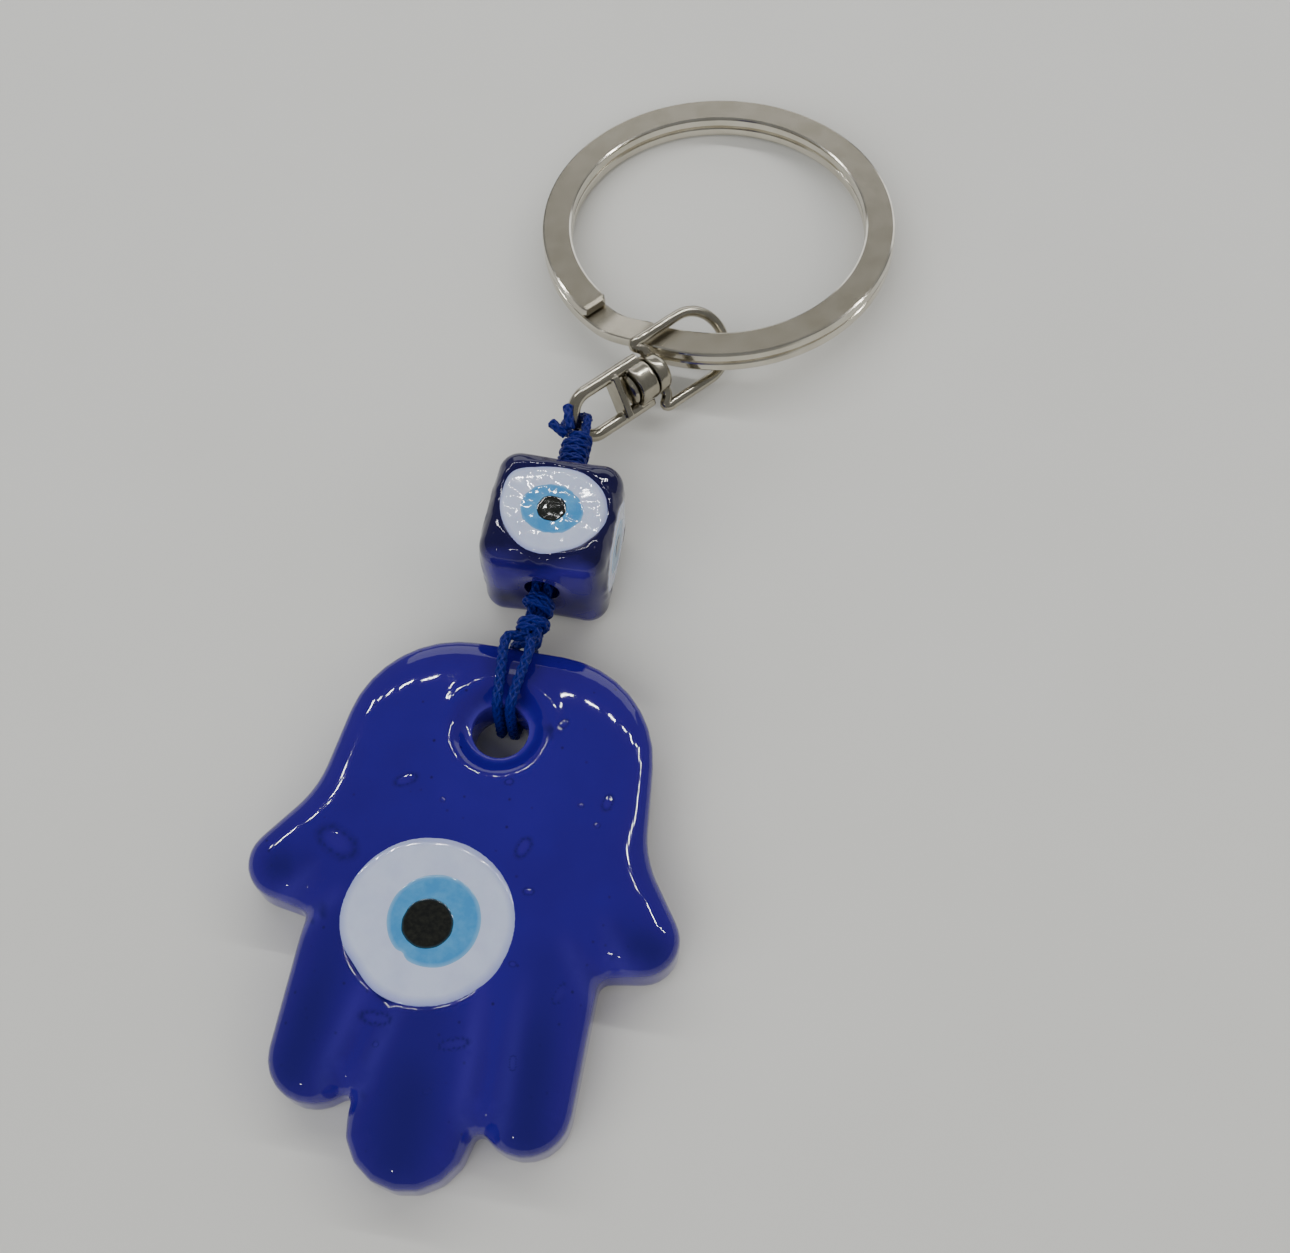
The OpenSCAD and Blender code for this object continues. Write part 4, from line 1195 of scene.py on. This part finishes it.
swivel = {
    "length": 8.4, "legGap": 3.7, "legRadius": 0.55, "legEnd": -1.22,
    "barrelRadius": 1.75, "barrelLow": -2.6, "barrelHigh": -0.9,
    "plateLow": -4.225, "plateHigh": -3.625, "plateHalf": 0.88,
    "shank": 0.75, "rivetRadius": 1.35, "rivetLow": -3.275, "rivetHigh": -2.675,
    "headHalf": 0.75, "runFit": 0.06, "wire": 0.45, "voxel": 0.075, "headVoxel": 0.07,
}


def makeSwivelBody():
    s = swivel
    half, r = s["legGap"] / 2, s["legRadius"]
    arcY = half - s["length"]
    path = [Vector((half, y, 0)) for y in np.linspace(s["legEnd"] + 0.02, arcY, 14)[:-1]]
    path += [Vector((half * math.cos(t), arcY - half * math.sin(t), 0)) for t in np.linspace(0, math.pi, 36)]
    path += [Vector((-half, y, 0)) for y in np.linspace(arcY, s["legEnd"] + 0.02, 14)[1:]]
    wire = sweep(path, lambda share: circle(r, 24))
    barrel = rod((0, s["barrelLow"], 0), (0, s["barrelHigh"], 0), s["barrelRadius"], 64, 0.15)
    h = s["plateHalf"]
    plate = block((-half, s["plateLow"], -h), (half, s["plateHigh"], h))
    bore = rod((0, s["plateHigh"] + 0.02, 0), (0, 0, 0), s["shank"] + s["runFit"], 32, 0.01)
    castPiece("swivelBody", bodyMatrix, [wire, barrel, plate], [bore], s["voxel"], 3,
              "swivel_body", castNickel, ["swivel_body"])


def makeSwivelHead():
    s = swivel
    r, h = s["barrelRadius"], s["headHalf"]
    # a low drum with a crowned face, and a peened rivet on its shank
    drum = lathe([(0.01, -h), (r - 0.12, -h), (r - 0.02, -h + 0.08), (r, -h + 0.25),
                  (r - 0.03, 0.1), (r - 0.15, 0.38), (r - 0.4, 0.58),
                  (r - 0.8, 0.7), (0.01, h)], Matrix.Identity(4), 64)
    shank = rod((0, s["rivetLow"] + 0.1, 0), (0, -h + 0.2, 0), s["shank"], 32, 0.02)
    hole = rod((-r - 1, 0, 0), (r + 1, 0, 0), s["wire"] + s["runFit"], 32, 0.01)
    castPiece("swivelHead", bailMatrix, [drum, shank], [hole], s["headVoxel"], 2,
              "swivel_head", castNickel, ["swivel_head"])
    low, high, rr = s["rivetLow"], s["rivetHigh"], s["rivetRadius"]
    points, faces = lathe([(0.01, low), (0.45, low + 0.02), (rr - 0.35, low + 0.08), (rr - 0.08, low + 0.25),
                           (rr, high - 0.12), (rr - 0.06, high - 0.02), (rr - 0.12, high), (0.01, high)],
                          bailMatrix, 48)
    newPiece("swivelRivet", points, faces, "swivel_head", castNickel,
             ["swivel_rivet"], sharp=40)


bail = {"width": 5.8, "length": 7.1, "wire": 0.45, "back": 0.6, "turnIn": 0.95, "tip": 0.5}


def makeBail():
    b = bail
    w, turnY = b["width"] / 2, b["length"] - b["width"] / 2
    path = [Vector((-b["tip"], 0, 0)), Vector((-1.2, 0, 0)), Vector((-(w - b["turnIn"]) - 0.1, -0.05, 0)),
            Vector((-w + 0.25, -b["back"] + 0.02, 0)), Vector((-w, -b["back"] + 0.28, 0)),
            Vector((-w, 0.4, 0)), Vector((-w, turnY / 2, 0))]
    path += [Vector((w * math.cos(t), turnY + w * math.sin(t), 0)) for t in np.linspace(math.pi, 0, 17)]
    path += [Vector((-p.x, p.y, 0)) for p in reversed(path[:7])]
    line = smoothPath([Vector((p.x, p.y, 0)) for p in path], 0.12)
    points, faces = sweep([bailMatrix @ p for p in line], lambda share: circle(b["wire"], 24),
                          up=bailMatrix.to_3x3() @ Vector((0, 0, 1)))
    newPiece("ringBail", points, faces, "bail", castNickel, ["ring_bail"], sharp=50)


ring = {"outside": 30.0, "strip": 2.5, "thick": 0.95, "gap": 0.06, "tail": 259.0, "end": 232.0,
        "rampLow": 236.0, "rampHigh": 256.0, "chamfer": 0.2, "endRound": 0.22, "step": 1.5}


def makeRing():
    g = ring
    normal = unit(joints["ring_spin"]["axis"])
    turn = Vector((0, 0, 1)).rotation_difference(normal).to_matrix().to_4x4()
    matrix = Matrix.Translation(ringAt) @ turn
    middle = (g["outside"] - g["strip"]) / 2
    w, h, c = g["strip"] / 2, g["thick"] / 2, g["chamfer"]
    start, stop = g["tail"] - 360, g["end"] + 360
    count = int((stop - start) / g["step"])
    points, faces, paintedHighlightSlot = [], [], []
    for i in range(count + 1):
        a = start + (stop - start) * i / count
        share = float(ease(np.array((a - g["rampLow"]) / (g["rampHigh"] - g["rampLow"]))))
        level = (g["thick"] + g["gap"]) * (share - 0.5)
        # the strip's two ends are rounded over by tumbling
        fromEnd = min(1.0, min(i, count - i) * g["step"] * math.radians(middle) / g["endRound"])
        tuck = g["endRound"] * (1 - math.sqrt(fromEnd * (2 - fromEnd)))
        ww, hh = w - tuck, h - tuck * 0.6
        section = [(-ww, -hh + c), (-ww, hh - c), (-ww + 0.3 * c, hh - 0.3 * c), (-ww + c, hh), (ww - c, hh),
                   (ww - 0.3 * c, hh - 0.3 * c), (ww, hh - c), (ww, -hh + c), (ww - 0.3 * c, -hh + 0.3 * c),
                   (ww - c, -hh), (-ww + c, -hh), (-ww + 0.3 * c, -hh + 0.3 * c)]
        ca, sa = math.cos(math.radians(a)), math.sin(math.radians(a))
        points += [matrix @ Vector(((middle + x) * ca, (middle + x) * sa, level + y)) for x, y in section]
    m = 12
    for i in range(count):
        for k in range(m):
            j = (k + 1) % m
            faces.append((i * m + k, (i + 1) * m + k, (i + 1) * m + j, i * m + j))
            # walls and chamfers get the lighter edge nickel as a painted highlight; the two flat faces get
            # the rolled nickel
            paintedHighlightSlot.append(0 if k in (3, 9) else 1)
    faces += [tuple(range(m)), tuple(count * m + k for k in range(m))[::-1]]
    paintedHighlightSlot += [1, 1]
    obj = newPiece("splitRing", points, faces, "ring", [rolledNickel, edgeNickelPaintedHighlight],
                   ["split_ring"], sharp=15)
    obj.data.polygons.foreach_set("material_index", paintedHighlightSlot)


makeSwivelBody()
makeSwivelHead()
makeBail()
makeRing()
print("fittings made")
